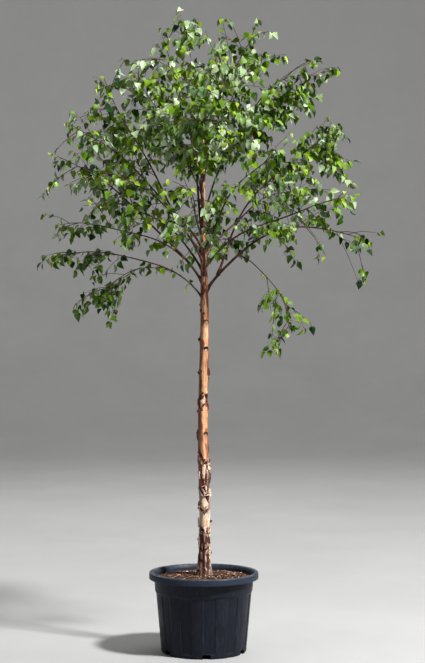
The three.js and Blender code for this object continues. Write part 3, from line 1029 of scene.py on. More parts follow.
@dataclass(frozen=True)
class FlapBark(Finish):
    """One side of a loose curl of bark, papery and banded."""

    sheet: Colour
    band: Colour

    def build(self, nodes: Nodes) -> None:
        """Build the material.

        Args:
            nodes: The nodes of the material.
        """
        bands = nodes.noise((60, 60, 420), 4.0, 0.7)
        colour = nodes.mix(nodes.spread(bands, 0.5, 0.68), self.sheet, self.band)
        roughness = nodes.spread(bands, 0.3, 0.7, (0.5, 0.75))
        nodes.surface(colour, roughness, bands, strength=0.4, depth=0.0007, gloss=0.25)


@dataclass(frozen=True)
class LeafSkin(Finish):
    """Glossy upper side and dull paler underside of a leaf, with a fine net of veins."""

    upper: Colour
    under: Colour
    dullness: float

    def build(self, nodes: Nodes) -> None:
        """Build the material.

        Args:
            nodes: The nodes of the material.
        """
        across = nodes.mark("across")
        along = nodes.mark("along")
        slant = nodes.minus(along, nodes.times(across, 0.42))
        wave = nodes.math("SINE", nodes.times(slant, 44.0), 0.0)
        side_veins = nodes.spread(wave, 0.72, 0.98)
        midrib = nodes.spread(across, 0.0, 0.075, (1.0, 0.0))
        veins = nodes.math("MAXIMUM", nodes.times(side_veins, 0.45), midrib)
        clouds = nodes.effect(Effect.MOTTLE, size=0.05, contrast=1.1)
        blade = nodes.mix(clouds, tuple(c * 0.72 for c in self.upper), tuple(c * 1.25 for c in self.upper))
        upper = nodes.mix(nodes.times(veins, 0.3), blade, self.under)
        behind = nodes.add("NewGeometry").outputs["Backfacing"]
        colour = nodes.mix(behind, upper, self.under)
        smooth = nodes.spread(clouds, 0.0, 1.0, (self.dullness, self.dullness + 0.12))
        roughness = nodes.plus(smooth, nodes.times(behind, 0.25))
        relief = nodes.minus(nodes.noise((300, 300, 300), 2.0), veins)
        waxy = nodes.spread(nodes.noise((26, 26, 26), 1.0), 0.45, 0.63, (0.0, 1.0))
        nodes.surface(colour, roughness, relief, strength=0.35, depth=0.0008, gloss=waxy)


@dataclass(frozen=True)
class StudioFloor(Finish):
    """Pale painted floor with a faint trowelled cloud."""

    name: str = "studio_floor"
    pale: Colour = (0.35, 0.35, 0.345)
    shade: Colour = (0.32, 0.32, 0.315)

    def build(self, nodes: Nodes) -> None:
        """Build the material.

        Args:
            nodes: The nodes of the material.
        """
        clouds = nodes.effect(Effect.MOTTLE, size=0.9, contrast=0.7)
        colour = nodes.mix(clouds, self.shade, self.pale)
        roughness = nodes.spread(clouds, 0.0, 1.0, (0.72, 0.84))
        trowelled = nodes.noise((40, 40, 40), 4.0)
        nodes.surface(colour, roughness, trowelled, strength=0.08, depth=0.002, gloss=0.5)


class Tint(Enum):
    """Greens that a spray of leaves may have, one of them a pale painted sheen."""

    YOUNG = LeafSkin("leaf_young", (0.165, 0.255, 0.006), (0.19, 0.265, 0.018), 0.50)
    # painted sheen: a pale grey-green base colour for the reflection of a bright sky on glossy leaves
    SILVERY = LeafSkin("leaf_silvery", (0.23, 0.31, 0.175), (0.21, 0.28, 0.14), 0.40)
    FRESH = LeafSkin("leaf_fresh", (0.086, 0.166, 0.003), (0.115, 0.193, 0.010), 0.45)
    MIDDLE = LeafSkin("leaf_middle", (0.045, 0.106, 0.0012), (0.070, 0.140, 0.007), 0.44)
    DEEP = LeafSkin("leaf_deep", (0.010, 0.035, 0.0006), (0.022, 0.060, 0.003), 0.44)
    BLUISH = LeafSkin("leaf_bluish", (0.012, 0.052, 0.013), (0.070, 0.125, 0.050), 0.40)


# ---- container


def rounded(corners: Sequence[tuple[float, float, float]], steps: int) -> Array:
    """Round the corners of an outline.

    Args:
        corners: The place of each corner in the outline's plane, and how far its curve reaches.
        steps: Stretches of each curve.

    Returns:
        Points of the outline, one row each.
    """
    places = np.array([corner[:2] for corner in corners])
    outline = []
    for i, (*_, reach) in enumerate(corners):
        if not reach:
            outline.append(places[i])
            continue
        start = places[i] + unit(places[i - 1] - places[i]) * reach
        end = places[i] + unit(places[i + 1] - places[i]) * reach
        for share in np.linspace(0, 1, steps + 1):
            outline.append((1 - share) ** 2 * start + 2 * share * (1 - share) * places[i] + share**2 * end)
    return np.array(outline)


@dataclass(frozen=True)
class Container:
    """Round nursery container with alternate sunk panels, a plain band and a broad lip."""

    foot_radius: float = 0.190
    body_foot_radius: float = 0.196
    body_top_radius: float = 0.219
    band_foot_radius: float = 0.2235
    band_top_radius: float = 0.228
    lip_radius: float = 0.251
    wall: float = 0.004
    lip_depth: float = 0.031
    lip_width: float = 0.019
    band_depth: float = 0.055
    chamfer: float = 0.006
    flute_foot: float = 0.016
    flute_depth: float = 0.0028
    flute_edge: float = 0.6  # degrees, half the width of the step beside a panel
    columns: tuple[float, ...] = (-1.4, -0.6, -0.25, 0.25, 0.6, 1.4, 5.0, 10.0)  # degrees past a panel's edge
    panels: int = 12
    drains: int = 6
    drain_size: tuple[float, float, float] = (0.036, 0.048, 0.040)
    drain_turn: float = 4.0
    sharp_from: float = 38.0  # degrees between two faces

    def outline(self) -> Array:
        """Work out the section of the container.

        Returns:
            Its points, as radius and height, from the middle of the underside over the lip to the inside.
        """
        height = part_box("pot")[1].z
        lip_foot = height - self.lip_depth
        band_foot = lip_foot - self.band_depth
        flute_top = band_foot - self.chamfer
        span = flute_top - self.flute_foot
        grow = self.body_top_radius - self.body_foot_radius
        ends = np.linspace(0.002, 0.008, 4)  # close together where the panels begin and end
        shares = np.concatenate((ends / span, np.linspace(0.08, 0.92, 8), 1 - ends[::-1] / span))
        inside = self.wall + self.flute_depth
        corners = [
            (0.0, 0.0, 0.0),
            (self.foot_radius, 0.0, 0.002),
            (self.body_foot_radius, self.chamfer, 0.003),
            (self.body_foot_radius, self.flute_foot, 0.0),
            *((self.body_foot_radius + grow * s, self.flute_foot + span * s, 0.0) for s in shares),
            (self.body_top_radius, flute_top, 0.002),
            (self.band_foot_radius, band_foot, 0.003),
            (self.band_top_radius, lip_foot, 0.0025),
            (self.lip_radius, lip_foot, 0.004),
            (self.lip_radius, height, 0.008),
            (self.lip_radius - self.lip_width, height, 0.005),
            (self.band_top_radius - self.wall + 0.001, lip_foot + self.lip_depth / 2, 0.003),
            (self.band_top_radius - self.wall, lip_foot, 0.0),
            (self.body_top_radius - inside, flute_top, 0.0),
            (self.body_foot_radius - inside, self.wall, 0.0),
            (0.0, self.wall, 0.0),
        ]
        return rounded(corners, 4)

    def build(self) -> None:
        """Build and dress the container."""
        outline = self.outline()
        flute_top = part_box("pot")[1].z - self.lip_depth - self.band_depth - self.chamfer
        wide = 180.0 / self.panels
        degrees = (np.arange(2 * self.panels)[:, None] * wide + self.columns).ravel()
        turn = np.mod(degrees, 2 * wide)
        soft = self.flute_edge
        sunk = eased(turn, -soft, soft) * (1 - eased(turn, wide - soft, wide + soft))
        sunk += eased(turn, 2 * wide - soft, 2 * wide + soft)
        rows, depths = [], []
        crossing = int(np.argmax(outline[:, 1]))
        ways = level(np.radians(degrees + FRONT))
        for i, (radius, height) in enumerate(outline):
            ends = eased(height, self.flute_foot, self.flute_foot + 0.007)
            ends *= 1 - eased(height, flute_top - 0.007, flute_top)
            depths.append(sunk * ends * (i < crossing))
            rows.append(ways * (radius - self.flute_depth * depths[-1])[:, None] + UP * height)
        shape = Shape()
        faces = grid_faces(len(rows), len(degrees), True)
        shape.add(np.concatenate(rows), [faces], sunk=np.concatenate(depths))
        self.tidy(placed(shape.mesh("nursery_container"), [PotPlastic()], "pot", "pot"))

    def tidy(self, pot: bpy.types.Object) -> None:
        """Close the middle of the floor, cut the drain holes and keep the hard edges crisp.

        Args:
            pot: The turned container.
        """
        cutters = Shape()
        for i in range(self.drains):
            turn = self.drain_turn + 360 * i / self.drains
            local = BOX_CORNERS * self.drain_size + (0.0, -self.body_foot_radius, 0.0)
            spin = np.array((heading(turn, 0), heading(turn + 90, 0), UP))
            cutters.add(local @ spin, [BOX_SIDES])
        knife = linked("drain_knife", cutters.mesh("drain_knife"))
        weld = pot.modifiers.new("weld", "WELD")
        weld.merge_threshold = 1e-5
        cut = pot.modifiers.new("drains", "BOOLEAN")
        cut.object = knife
        cut.solver = "EXACT"
        baked = bpy.data.meshes.new_from_object(pot.evaluated_get(bpy.context.evaluated_depsgraph_get()))
        pot.modifiers.clear()
        pot.data = baked
        baked.name = pot.name
        baked.shade_smooth()
        baked.set_sharp_from_angle(angle=math.radians(self.sharp_from))
        bpy.data.objects.remove(knife)


# ---- growing medium


@dataclass(frozen=True)
class GrowingMedium:
    """Loose composted bark, mounded towards the stem, with chips of several browns."""

    edge_radius: float = 0.2225
    edge_height: float = 0.334
    crown_height: float = 0.3475
    seat_radius: float = 0.048
    middle_radius: float = 0.004
    lump: float = 0.006
    rings: int = 60
    sides: int = 170
    chips: int = 3400
    chip_length: Span = (0.006, 0.019)
    chip_margin: float = 0.008  # from the wall
    shares: tuple[float, ...] = (0.36, 0.38, 0.19, 0.07)  # of the browns, among the chips
    seed: int = 41

    def top(self, places: Array) -> Array:
        """Lift places onto the lumpy surface of the mound.

        Args:
            places: Points at the level of the origin.

        Returns:
            The surface's point above each.
        """
        reach = np.linalg.norm(places, axis=-1)
        share = np.clip((self.edge_radius - reach) / (self.edge_radius - self.seat_radius), 0, 1)
        mound = self.crown_height + (self.edge_height - self.crown_height) * (1 - share) ** 2
        lumps = soft_noise(places * 38 + 9, self.seed, 3)
        crumbs = soft_noise(places * 150 + 9, self.seed + 7, 2) * 0.5
        return places + UP * (mound + self.lump * (lumps + crumbs - 0.85))[..., None]

    def build(self) -> None:
        """Build and dress the bed and its chips."""
        browns = (
            WoodChip("chip_damp", (0.068, 0.032, 0.018), (0.017, 0.009, 0.006)),
            WoodChip("chip_red", (0.18, 0.075, 0.038), (0.050, 0.022, 0.013)),
            WoodChip("chip_tan", (0.31, 0.17, 0.10), (0.12, 0.064, 0.036)),
            WoodChip("chip_pale", (0.62, 0.47, 0.34), (0.33, 0.22, 0.15)),
        )
        fines = WoodChip("medium_fines", (0.095, 0.045, 0.025), (0.017, 0.009, 0.006))
        placed(self.bed(), [fines], "growing_medium", "growing_medium")
        placed(self.loose_chips(), browns, "growing_medium", "growing_medium")

    def bed(self) -> bpy.types.Mesh:
        """Build the lumpy surface.

        Returns:
            The surface between the stem and the wall.
        """
        radii = np.linspace(self.edge_radius, self.middle_radius, self.rings)
        angles = np.linspace(0, 2 * np.pi, self.sides, endpoint=False)
        points = self.top(level(angles) * radii[:, None, None]).reshape(-1, 3)
        shape = Shape()
        middle = np.arange(self.sides) + (self.rings - 1) * self.sides
        shape.add(points, [grid_faces(self.rings, self.sides, True), middle[None]])
        return shape.mesh("growing_medium_bed")

    def loose_chips(self) -> bpy.types.Mesh:
        """Scatter flat uneven chips over the bed.

        Returns:
            All of the chips as one mesh.
        """
        random = np.random.default_rng(self.seed)
        shape = Shape()
        for _ in range(self.chips):
            reach = (self.edge_radius - self.chip_margin) * math.sqrt(random.uniform(0.02, 1))
            angle = random.uniform(0, 2 * math.pi)
            length = random.uniform(*self.chip_length) * random.uniform(0.6, 1.0)
            size = np.array((length, length * random.uniform(0.3, 0.7), length * random.uniform(0.12, 0.3)))
            points = (BOX_CORNERS + random.uniform(-0.2, 0.2, BOX_CORNERS.shape)) * size
            ahead = heading(random.uniform(0, 360), random.uniform(-30, 30))
            across = unit(np.cross(UP + random.normal(0, 0.25, 3), ahead))
            set_ = np.stack((ahead, across, np.cross(ahead, across)))
            foot = self.top(level(np.float64(angle)) * reach) + UP * 0.001
            shape.add(points @ set_ + foot, [BOX_SIDES], random.choice(4, p=self.shares))
        mesh = shape.mesh("bark_chips")
        mesh.shade_flat()
        return mesh


# ---- trunk


@dataclass(frozen=True)
class Scar:
    """A healed twig scar under its brow of bark. Facing is in degrees from the front, to the right."""

    height: float
    facing: float
    size: float
    stub: float = 0.5  # how far its stub stands out, as a share of the size


SCARS = [Scar(*row) for row in (
    (1.214, -56, 0.0085, 0.7), (1.200, -8, 0.0055), (1.162, 19, 0.0115, 0.6),
    (1.083, -84, 0.0125, 0.7), (1.039, 23, 0.0115, 0.15), (0.931, -52, 0.0125, 0.9),
    (0.905, 84, 0.0090, 0.4), (0.753, -88, 0.0075, 0.8), (0.649, 33, 0.0110, 0.45),
    (0.248, 80, 0.0090, 0.9), (0.208, -20, 0.0085, 0.1),
)]


@dataclass(frozen=True)
class Crack:
    """A dark split or torn edge in the bark, from its upper end to its lower one."""

    top: float
    top_facing: float  # degrees from the front, to the right
    foot: float
    foot_facing: float
    width: float


CRACKS = [Crack(*row) for row in (
    (0.585, -68, 0.514, 12, 0.0085), (0.545, 74, 0.510, 24, 0.0080), (0.508, 28, 0.474, 76, 0.0090),
    (0.497, 30, 0.414, 22, 0.0080), (0.497, -18, 0.448, -48, 0.0070), (0.478, 82, 0.372, 84, 0.0090),
    (0.452, -32, 0.384, 14, 0.0100), (0.459, 64, 0.388, 40, 0.0070), (0.404, -54, 0.362, 6, 0.0080),
    (0.370, 36, 0.352, 66, 0.0150), (0.372, 12, 0.336, 50, 0.0090), (0.330, -74, 0.298, -50, 0.0080),
    (0.312, -62, 0.286, 4, 0.0090), (0.306, 32, 0.289, 4, 0.0060), (0.820, 2, 0.803, -50, 0.0060),
    (0.786, 24, 0.772, -18, 0.0055), (0.838, -6, 0.800, -66, 0.0075), (0.803, -66, 0.762, -38, 0.0085),
    (0.768, -40, 0.756, -6, 0.0070), (0.834, 22, 0.804, 50, 0.0080), (0.806, 50, 0.776, 62, 0.0055),
    (0.914, -46, 0.842, -34, 0.0040), (0.176, -22, 0.098, -2, 0.0075), (0.104, -4, 0.014, -8, 0.0085),
    (0.160, -52, 0.034, -40, 0.0060), (0.132, 26, 0.026, 32, 0.0050), (0.168, 66, 0.058, 74, 0.0060),
)]


@dataclass(frozen=True)
class Patch:
    """A patch of bark of another kind: come away from the pale bark under it, or rusty."""

    height: float
    facing: float
    wide: float
    tall: float
    lean: float = 0.0  # to the right, for each length up


PEELED = [Patch(*row) for row in (
    (0.797, -6, 0.032, 0.072, 0.24), (0.480, 14, 0.026, 0.040), (0.412, 34, 0.022, 0.030, 0.3),
    (0.338, 8, 0.024, 0.034), (0.242, 12, 0.034, 0.070),
)]

RUSTY = [Patch(*row) for row in (
    (1.178, -34, 0.020, 0.062), (1.200, 52, 0.012, 0.050), (1.058, -30, 0.020, 0.050),
    (0.985, -58, 0.018, 0.090), (0.960, 62, 0.016, 0.080, 0.1), (0.880, 74, 0.014, 0.060),
    (0.736, -44, 0.018, 0.050), (0.684, -28, 0.016, 0.040), (0.590, -60, 0.018, 0.070, -0.2),
    (0.440, -34, 0.030, 0.090), (0.432, 40, 0.012, 0.070), (0.352, 34, 0.020, 0.040),
    (0.470, 150, 0.040, 0.100), (0.400, -140, 0.036, 0.080), (0.700, 165, 0.020, 0.090),
    (0.900, -150, 0.022, 0.080), (1.100, 130, 0.020, 0.080), (0.115, -8, 0.013, 0.150),
    (0.150, -38, 0.014, 0.060), (0.060, 42, 0.014, 0.070),
)]


@dataclass(frozen=True)
class Skin:
    """Places on the smooth trunk: heights, headings in radians, and the radius at each."""

    height: Array
    angle: Array
    radius: Array

    def unrolled(self, facing: float, height: float) -> tuple[Array, Array]:
        """Return how far each place lies to the right of a facing and above a height, along the bark."""
        off = np.mod(self.angle - math.radians(FRONT + facing) + np.pi, 2 * np.pi) - np.pi
        return off * self.radius, self.height - height

    def patches(self, table: Sequence[Patch], uneven: Array) -> Array:
        """Find where the patches of a table lie.

        Args:
            table: The patches.
            uneven: Noise that makes their rims uneven.

        Returns:
            1 for each place inside a patch, and 0 outside.
        """
        total = np.zeros_like(uneven)
        for patch in table:
            across, up = self.unrolled(patch.facing, patch.height)
            reach = np.hypot((across - patch.lean * up) / (patch.wide / 2), up / (patch.tall / 2))
            total = np.maximum(total, 1 - eased(reach + (uneven - 0.5) * 1.6, 0.72, 1.25))
        return total

    def scarred(self, scar: Scar) -> tuple[Array, Array]:
        """Work out the bark around a scar.

        Args:
            scar: The scar.

        Returns:
            How far each place is lifted, and how dark it is.
        """
        across, up = (gap / scar.size for gap in self.unrolled(scar.facing, scar.height))
        reach = np.hypot(across, up)
        bulge = np.exp(-(across**2 + (up + 0.3) ** 2) / 2.6)
        brow = np.exp(-(((reach - 0.78) / 0.26) ** 2)) * (0.5 + 0.5 * eased(up, -0.4, 0.15))
        pit = (1 - eased(reach, 0.7, 1.05)) * eased(up, -0.45, -0.1)
        push = scar.size * (0.26 * bulge + 0.12 * brow - 0.14 * pit)
        return push, np.clip(brow * 1.15 + pit * (1 - 1.6 * scar.stub), 0, 1)


@dataclass(frozen=True)
class TrunkBark:
    """The trunk and its leader with their bark in relief, from the flared foot to the tip."""

    form: TrunkForm
    sides: int = 96
    row: float = 0.0024  # between rings of points on the clear stem
    head_rows: int = 170
    peel_top: float = 0.56
    peel_foot: float = 0.17
    swell: float = 0.0014
    layer: float = 0.0012
    fissure: float = 0.0034
    torn: float = 0.0020
    gape: float = 0.62  # half the width of a crack's dark, as a share of the crack's own width
    covered: float = 0.05  # how much more of the outer bark still holds in the upper half of the peel
    first_scar: float = 0.30  # height of the lowest scar on the sides away from the camera
    scar_gap: float = 0.118  # between those scars
    cracks_behind: int = 30
    seed: int = 61

    def scars(self) -> list[Scar]:
        """List every scar.

        Returns:
            The scars in front, and a winding row of others on the far side.
        """
        behind = []
        height = self.first_scar
        turn = 150.0
        while height < self.form.clear_height:
            behind.append(Scar(height, turn, 0.008 + 0.003 * math.sin(height * 31) ** 2, 0.4))
            height += self.scar_gap
            turn = 95 + (turn - 95 + 77.5) % 170
        return [*SCARS, *behind]

    def cracks(self) -> list[Crack]:
        """List every crack.

        Returns:
            Those in front, and as many more as the far side needs.
        """
        random = np.random.default_rng(self.seed)
        behind = []
        for i in range(self.cracks_behind):
            top = 0.06 + 0.52 * (i + 1) / self.cracks_behind
            facing = 100 + (i * 61.0) % 160
            lean = random.uniform(-34, 34) * (top > 0.2)
            foot = max(0.012, top - random.uniform(0.03, 0.09))
            behind.append(Crack(top, facing, foot, facing + lean, random.uniform(0.004, 0.008)))
        return [*CRACKS, *behind]

    def relief(self, skin: Skin) -> tuple[Array, dict[str, Array]]:
        """Work out the bark's relief and its marks.

        Args:
            skin: Places on the smooth trunk.

        Returns:
            How far each place stands out, and the marks that the finish reads.
        """
        height, angle, radius = skin.height, skin.angle, skin.radius
        girth = np.minimum(radius, self.form.foot_radius)
        place = np.stack((girth * np.cos(angle), girth * np.sin(angle), height + 0 * angle), axis=-1)
        lumps = soft_noise(place * (44, 44, 16) + 5, 3, 3) - 0.5
        ages = soft_noise(place * (70, 70, 24) + 8, 17, 3) - 0.5
        age = eased(height - ages * 0.30, self.peel_top - 0.10, self.peel_top - 0.24)
        layers = soft_noise(place * (62, 62, 25) + 2, 29, 3)
        band = eased(height, self.peel_foot - 0.06, self.peel_foot + 0.05)
        band *= 1 - eased(height, self.peel_top - 0.03, self.peel_top + 0.02)
        windows = skin.patches(PEELED, layers)
        layers = (layers - self.covered * eased(height, 0.33, 0.39)) * band + windows * 0.66
        peeled = eased(layers, 0.535, 0.560)
        # edge is the raised rim of the outer bark round each peeled window; its dark, laid on with the splits
        # below, is partly torn bark and partly painted shadow under the rim
        edge = eased(layers, 0.490, 0.512) * (1 - peeled) * eased(lumps, -0.13, 0.06)
        bent = lumps[..., None] * (1.6, 1.6, 0.0)
        ridges = 1 - np.abs(2 * soft_noise(place * (96, 96, 22) + bent + 4, 41, 3) - 1)
        foot = 1 - eased(height, 0.14, 0.27)
        lines = np.clip(foot + 0.25 * age, 0, 1) * np.clip(age * 1.6, 0, 1)
        lines = np.maximum(lines, eased(height, self.form.clear_height - 0.1, self.form.clear_height + 0.05))
        split = eased(ridges, 0.74, 0.90) * lines
        torn = self.torn_edges(skin, lumps)
        out = self.swell * lumps * np.clip(radius / 0.012, 0, 1)
        out += self.layer * (edge * 0.8 - peeled) - self.torn * torn
        out += self.fissure * (0.25 * foot - split) * (0.35 + 0.65 * foot)
        scarred = np.zeros_like(out)
        for scar in self.scars():
            push, dark = skin.scarred(scar)
            out += push
            scarred = np.maximum(scarred, dark)
        damp = 1 - eased(height + lumps * 0.05, 0.015, 0.085)
        split = np.maximum(np.maximum(split, edge * 0.85), np.maximum(damp * 0.47, torn))
        rusty = skin.patches(RUSTY, ages + 0.5) * (1 - peeled)
        age = age * (1 - rusty)
        return out, {"age": age, "rusty": rusty, "peeled": peeled, "split": split, "scar": scarred}

    def torn_edges(self, skin: Skin, wander: Array) -> Array:
        """Work out how the cracks lie on the bark.

        Args:
            skin: Places on the bark.
            wander: Noise that bends them.

        Returns:
            How near each place is to the middle of a crack, 1 being right in it.
        """
        total = np.zeros_like(wander)
        for crack in self.cracks():
            across, up = skin.unrolled(crack.top_facing, crack.top)
            turn = np.mod(crack.foot_facing - crack.top_facing + 180, 360) - 180
            to = np.array((math.radians(turn) * self.form.foot_radius * 0.86, crack.foot - crack.top))
            share = np.clip((across * to[0] + up * to[1]) / (to @ to), 0, 1)
            gap = np.hypot(across - share * to[0], up - share * to[1]) + wander * 0.008
            half = crack.width * self.gape * (0.45 + 0.75 * np.sin(np.pi * np.clip(share, 0.08, 0.92)))
            total = np.maximum(total, 1 - eased(gap / half, 0.6, 1.3))
        return total

    def build(self) -> None:
        """Build and dress the trunk."""
        clear = np.arange(0, self.form.clear_height, self.row)
        head = np.linspace(self.form.clear_height, self.form.leader_height, self.head_rows)
        heights = np.concatenate((clear, head))[:, None]
        angles = (np.arange(self.sides) * 2 * np.pi / self.sides)[None]
        out, marks = self.relief(Skin(heights, angles, self.form.radius(heights)))
        points = self.form.surface(heights, angles, out)
        shape = Shape()
        flat_marks = {name: numbers.ravel() for name, numbers in marks.items()}
        shape.add(points.reshape(-1, 3), rod_faces(len(heights), self.sides), **flat_marks)
        placed(shape.mesh("trunk_bark"), [StemBark()], "trunk_bark", "trunk")

    def stubs(self) -> None:
        """Build and dress the dead stubs and brows that stand out of the scars."""
        shape = Shape()
        for scar in self.scars():
            radius = float(self.form.radius(np.float64(scar.height)))
            turns = np.radians(np.linspace(-10, 190, 12))
            facings = scar.facing + np.degrees(scar.size * 0.92 * np.cos(turns) / radius)
            rises = scar.height + scar.size * 0.92 * np.sin(turns)
            arc = self.form.surface(rises, np.radians(FRONT + facings))
            girth = scar.size * 0.23 * np.sin(np.linspace(0.25, np.pi - 0.25, len(turns)))
            shape.tube(Line(arc, girth), 6, 0)
            foot = self.form.surface(scar.height - scar.size * 0.1, np.radians(FRONT + scar.facing))
            steps = np.linspace(-0.4, 0.98, 8)
            knob = foot + heading(FRONT + scar.facing, 20) * steps[:, None] * scar.size * scar.stub * 1.2
            healed = abs(scar.facing) < 45 and scar.stub > 0.5
            share = 0.36 if healed else 0.30 + 0.40 * (abs(scar.facing) > 45)
            girth = scar.size * share * np.sqrt(1 - steps**2)
            shape.tube(Line(knob, girth), 10, 2 if healed else 1)
        finishes = [
            FlapBark("brow_bark", (0.050, 0.017, 0.011), (0.012, 0.006, 0.005)),
            FlapBark("dead_knob", (0.022, 0.011, 0.009), (0.007, 0.004, 0.003)),
            FlapBark("healed_stub", (0.42, 0.33, 0.30), (0.14, 0.085, 0.07)),
        ]
        placed(shape.mesh("twig_scars"), finishes, "trunk_bark", "trunk")


class Curl(Enum):
    """Which way a loose flap of bark leaves the stem."""

    RIGHT = (1, 0)
    LEFT = (-1, 0)
    DOWN = (0, -1)
    UP = (0, 1)


@dataclass(frozen=True)
class Flap:
    """A loose flap of bark: where it hangs on, how far it runs, and how far it has curled out."""

    height: float
    facing: float  # degrees from the front
    wide: float  # along the edge that still holds
    long: float  # from that edge to the free one
    turn: float  # degrees that the free edge has curled through
    curl: Curl
    copper: bool = False


FLAPS = [Flap(*row) for row in (
    (0.930, 74, 0.040, 0.013, 105, Curl.RIGHT, True), (0.815, 50, 0.040, 0.009, 140, Curl.RIGHT, True),
    (0.773, 78, 0.034, 0.012, 70, Curl.RIGHT, True), (0.793, -72, 0.036, 0.010, 120, Curl.LEFT, True),
    (0.760, -26, 0.018, 0.008, 120, Curl.DOWN, True), (0.646, -78, 0.052, 0.012, 80, Curl.LEFT, True),
    (0.566, -56, 0.020, 0.011, 120, Curl.DOWN, True), (0.538, -24, 0.022, 0.012, 150, Curl.DOWN, True),
    (0.520, 40, 0.018, 0.012, 140, Curl.DOWN, True), (0.527, 70, 0.026, 0.017, 140, Curl.RIGHT),
    (0.500, 78, 0.024, 0.023, 100, Curl.RIGHT), (0.452, 72, 0.056, 0.024, 172, Curl.RIGHT),
    (0.428, 50, 0.040, 0.009, 165, Curl.RIGHT), (0.462, -52, 0.036, 0.009, 150, Curl.LEFT),
    (0.408, -6, 0.018, 0.009, 150, Curl.DOWN), (0.382, 84, 0.036, 0.015, 70, Curl.RIGHT),
    (0.366, 30, 0.016, 0.010, 150, Curl.DOWN), (0.308, -70, 0.030, 0.014, 110, Curl.LEFT),
    (0.298, -26, 0.024, 0.009, 160, Curl.UP), (0.150, -64, 0.060, 0.010, 60, Curl.LEFT),
    (0.110, 62, 0.070, 0.011, 66, Curl.RIGHT),
)]


@dataclass(frozen=True)
class LooseBark:
    """Papery flaps that peel off the stem in curls, on every side of it."""

    trunk: TrunkBark
    thickness: float = 0.0005
    rows: int = 15
    columns: int = 13
    behind: int = 34
    seed: int = 23

    def flaps(self) -> list[Flap]:
        """List every flap.

        Returns:
            Those in front, and as many more as the far side needs.
        """
        random = np.random.default_rng(self.seed)
        others = []
        for i in range(self.behind):
            height = 0.10 + 0.50 * i / self.behind + random.uniform(-0.01, 0.01)
            curl = list(Curl)[int(random.choice(4, p=(0.34, 0.34, 0.22, 0.10)))]
            wide = random.uniform(0.016, 0.045)
            long = random.uniform(0.008, 0.015)
            facing = 95 + (i * 67.5) % 170
            others.append(Flap(height, facing, wide, long, random.uniform(60, 160), curl, height > 0.52))
        return [*FLAPS, *others]

    def build(self) -> None:
        """Build and dress the flaps."""
        shape = Shape()
        for number, flap in enumerate(self.flaps()):
            self.add_sheet(shape, self.sheet(flap, number), 0 if flap.copper else 2)
        # the inner faces, flap_rust and flap_inside, are dark maroon: partly the bark's own colour, partly
        # painted shade under the curls
        finishes = [
            FlapBark("flap_copper", (0.14, 0.040, 0.022), (0.035, 0.011, 0.008)),
            FlapBark("flap_rust", (0.075, 0.019, 0.012), (0.020, 0.007, 0.005)),
            FlapBark("flap_tan", (0.62, 0.47, 0.36), (0.16, 0.06, 0.04)),
            FlapBark("flap_inside", (0.085, 0.020, 0.013), (0.022, 0.007, 0.005)),
        ]
        placed(shape.mesh("loose_bark"), finishes, "trunk_bark", "trunk")

    def sheet(self, flap: Flap, number: int) -> Array:
        """Work out the outer face of a flap.

        Args:
            flap: Its place and its curl.
            number: Which noise tears its free edge.

        Returns:
            Points in rows across the curl and columns along it.
        """
        form = self.trunk.form
        across = np.linspace(-0.5, 0.5, self.rows)[:, None]
        along = np.linspace(0, 1, self.columns)[None]
        tear = soft_noise(np.stack((across * 9, 0 * across + number, 0 * across), -1), 5, 2)
        reach = flap.long * (0.55 + 0.75 * tear) * np.cos(across * np.pi * 0.92) ** 0.35
        bend = math.radians(flap.turn) * np.clip((along - 0.12) / 0.88, 0, 1) ** 1.25 * (0.75 + 0.5 * tear)
        step = reach / (self.columns - 1)
        run = np.cumsum(np.cos(bend) * step, axis=1) - step
        lift = np.cumsum(np.sin(bend) * step, axis=1) + 0.0007
        radius = float(form.radius(np.float64(flap.height)))
        side, rise = flap.curl.value
        slant = 0.5 * math.sin(number * 2.4)
        place = np.stack(np.broadcast_arrays(across * 5, along * 2, np.float64(number)), -1)
        wave = 0.0016 * (soft_noise(place, 9) - 0.5)
        if side:
            angle = np.radians(FRONT + flap.facing) + side * (run - flap.long / 2) / radius
            height = flap.height + across * flap.wide + run * slant
        else:
            angle = np.radians(FRONT + flap.facing) + across * flap.wide / radius + 0 * along
            height = flap.height + rise * (run - flap.long / 2) + flap.wide * across * slant
        return form.surface(height, angle, lift + wave)

    def add_sheet(self, shape: Shape, outer: Array, finish: int) -> None:
        """Give a face its thickness and add it.

        Args:
            shape: What it is added to.
            outer: The outer face, in rows and columns of points.
            finish: The material of the outer face; the inner face has the next one.
        """
        rows, columns = outer.shape[:2]
        normals = unit(np.cross(np.gradient(outer, axis=0), np.gradient(outer, axis=1)))
        middle = outer - self.trunk.form.middle(outer[..., 2] - GROUND)
        sign = np.sign((normals * middle)[:, 0].sum())
        inner = outer - normals * sign * self.thickness
        faces = grid_faces(rows, columns, False)
        shape.add(outer.reshape(-1, 3), [faces if sign < 0 else faces[:, ::-1]], finish)
        shape.add(inner.reshape(-1, 3), [faces[:, ::-1] if sign < 0 else faces], finish + 1)
        grid = np.arange(rows * columns).reshape(rows, columns)
        ring = np.concatenate((grid[0, :-1], grid[:-1, -1], grid[-1, :0:-1], grid[:0:-1, 0]))  # its edge
        both = np.concatenate((outer.reshape(-1, 3)[ring], inner.reshape(-1, 3)[ring]))
        shape.add(both, [grid_faces(2, len(ring), True)], finish)


# ---- boughs


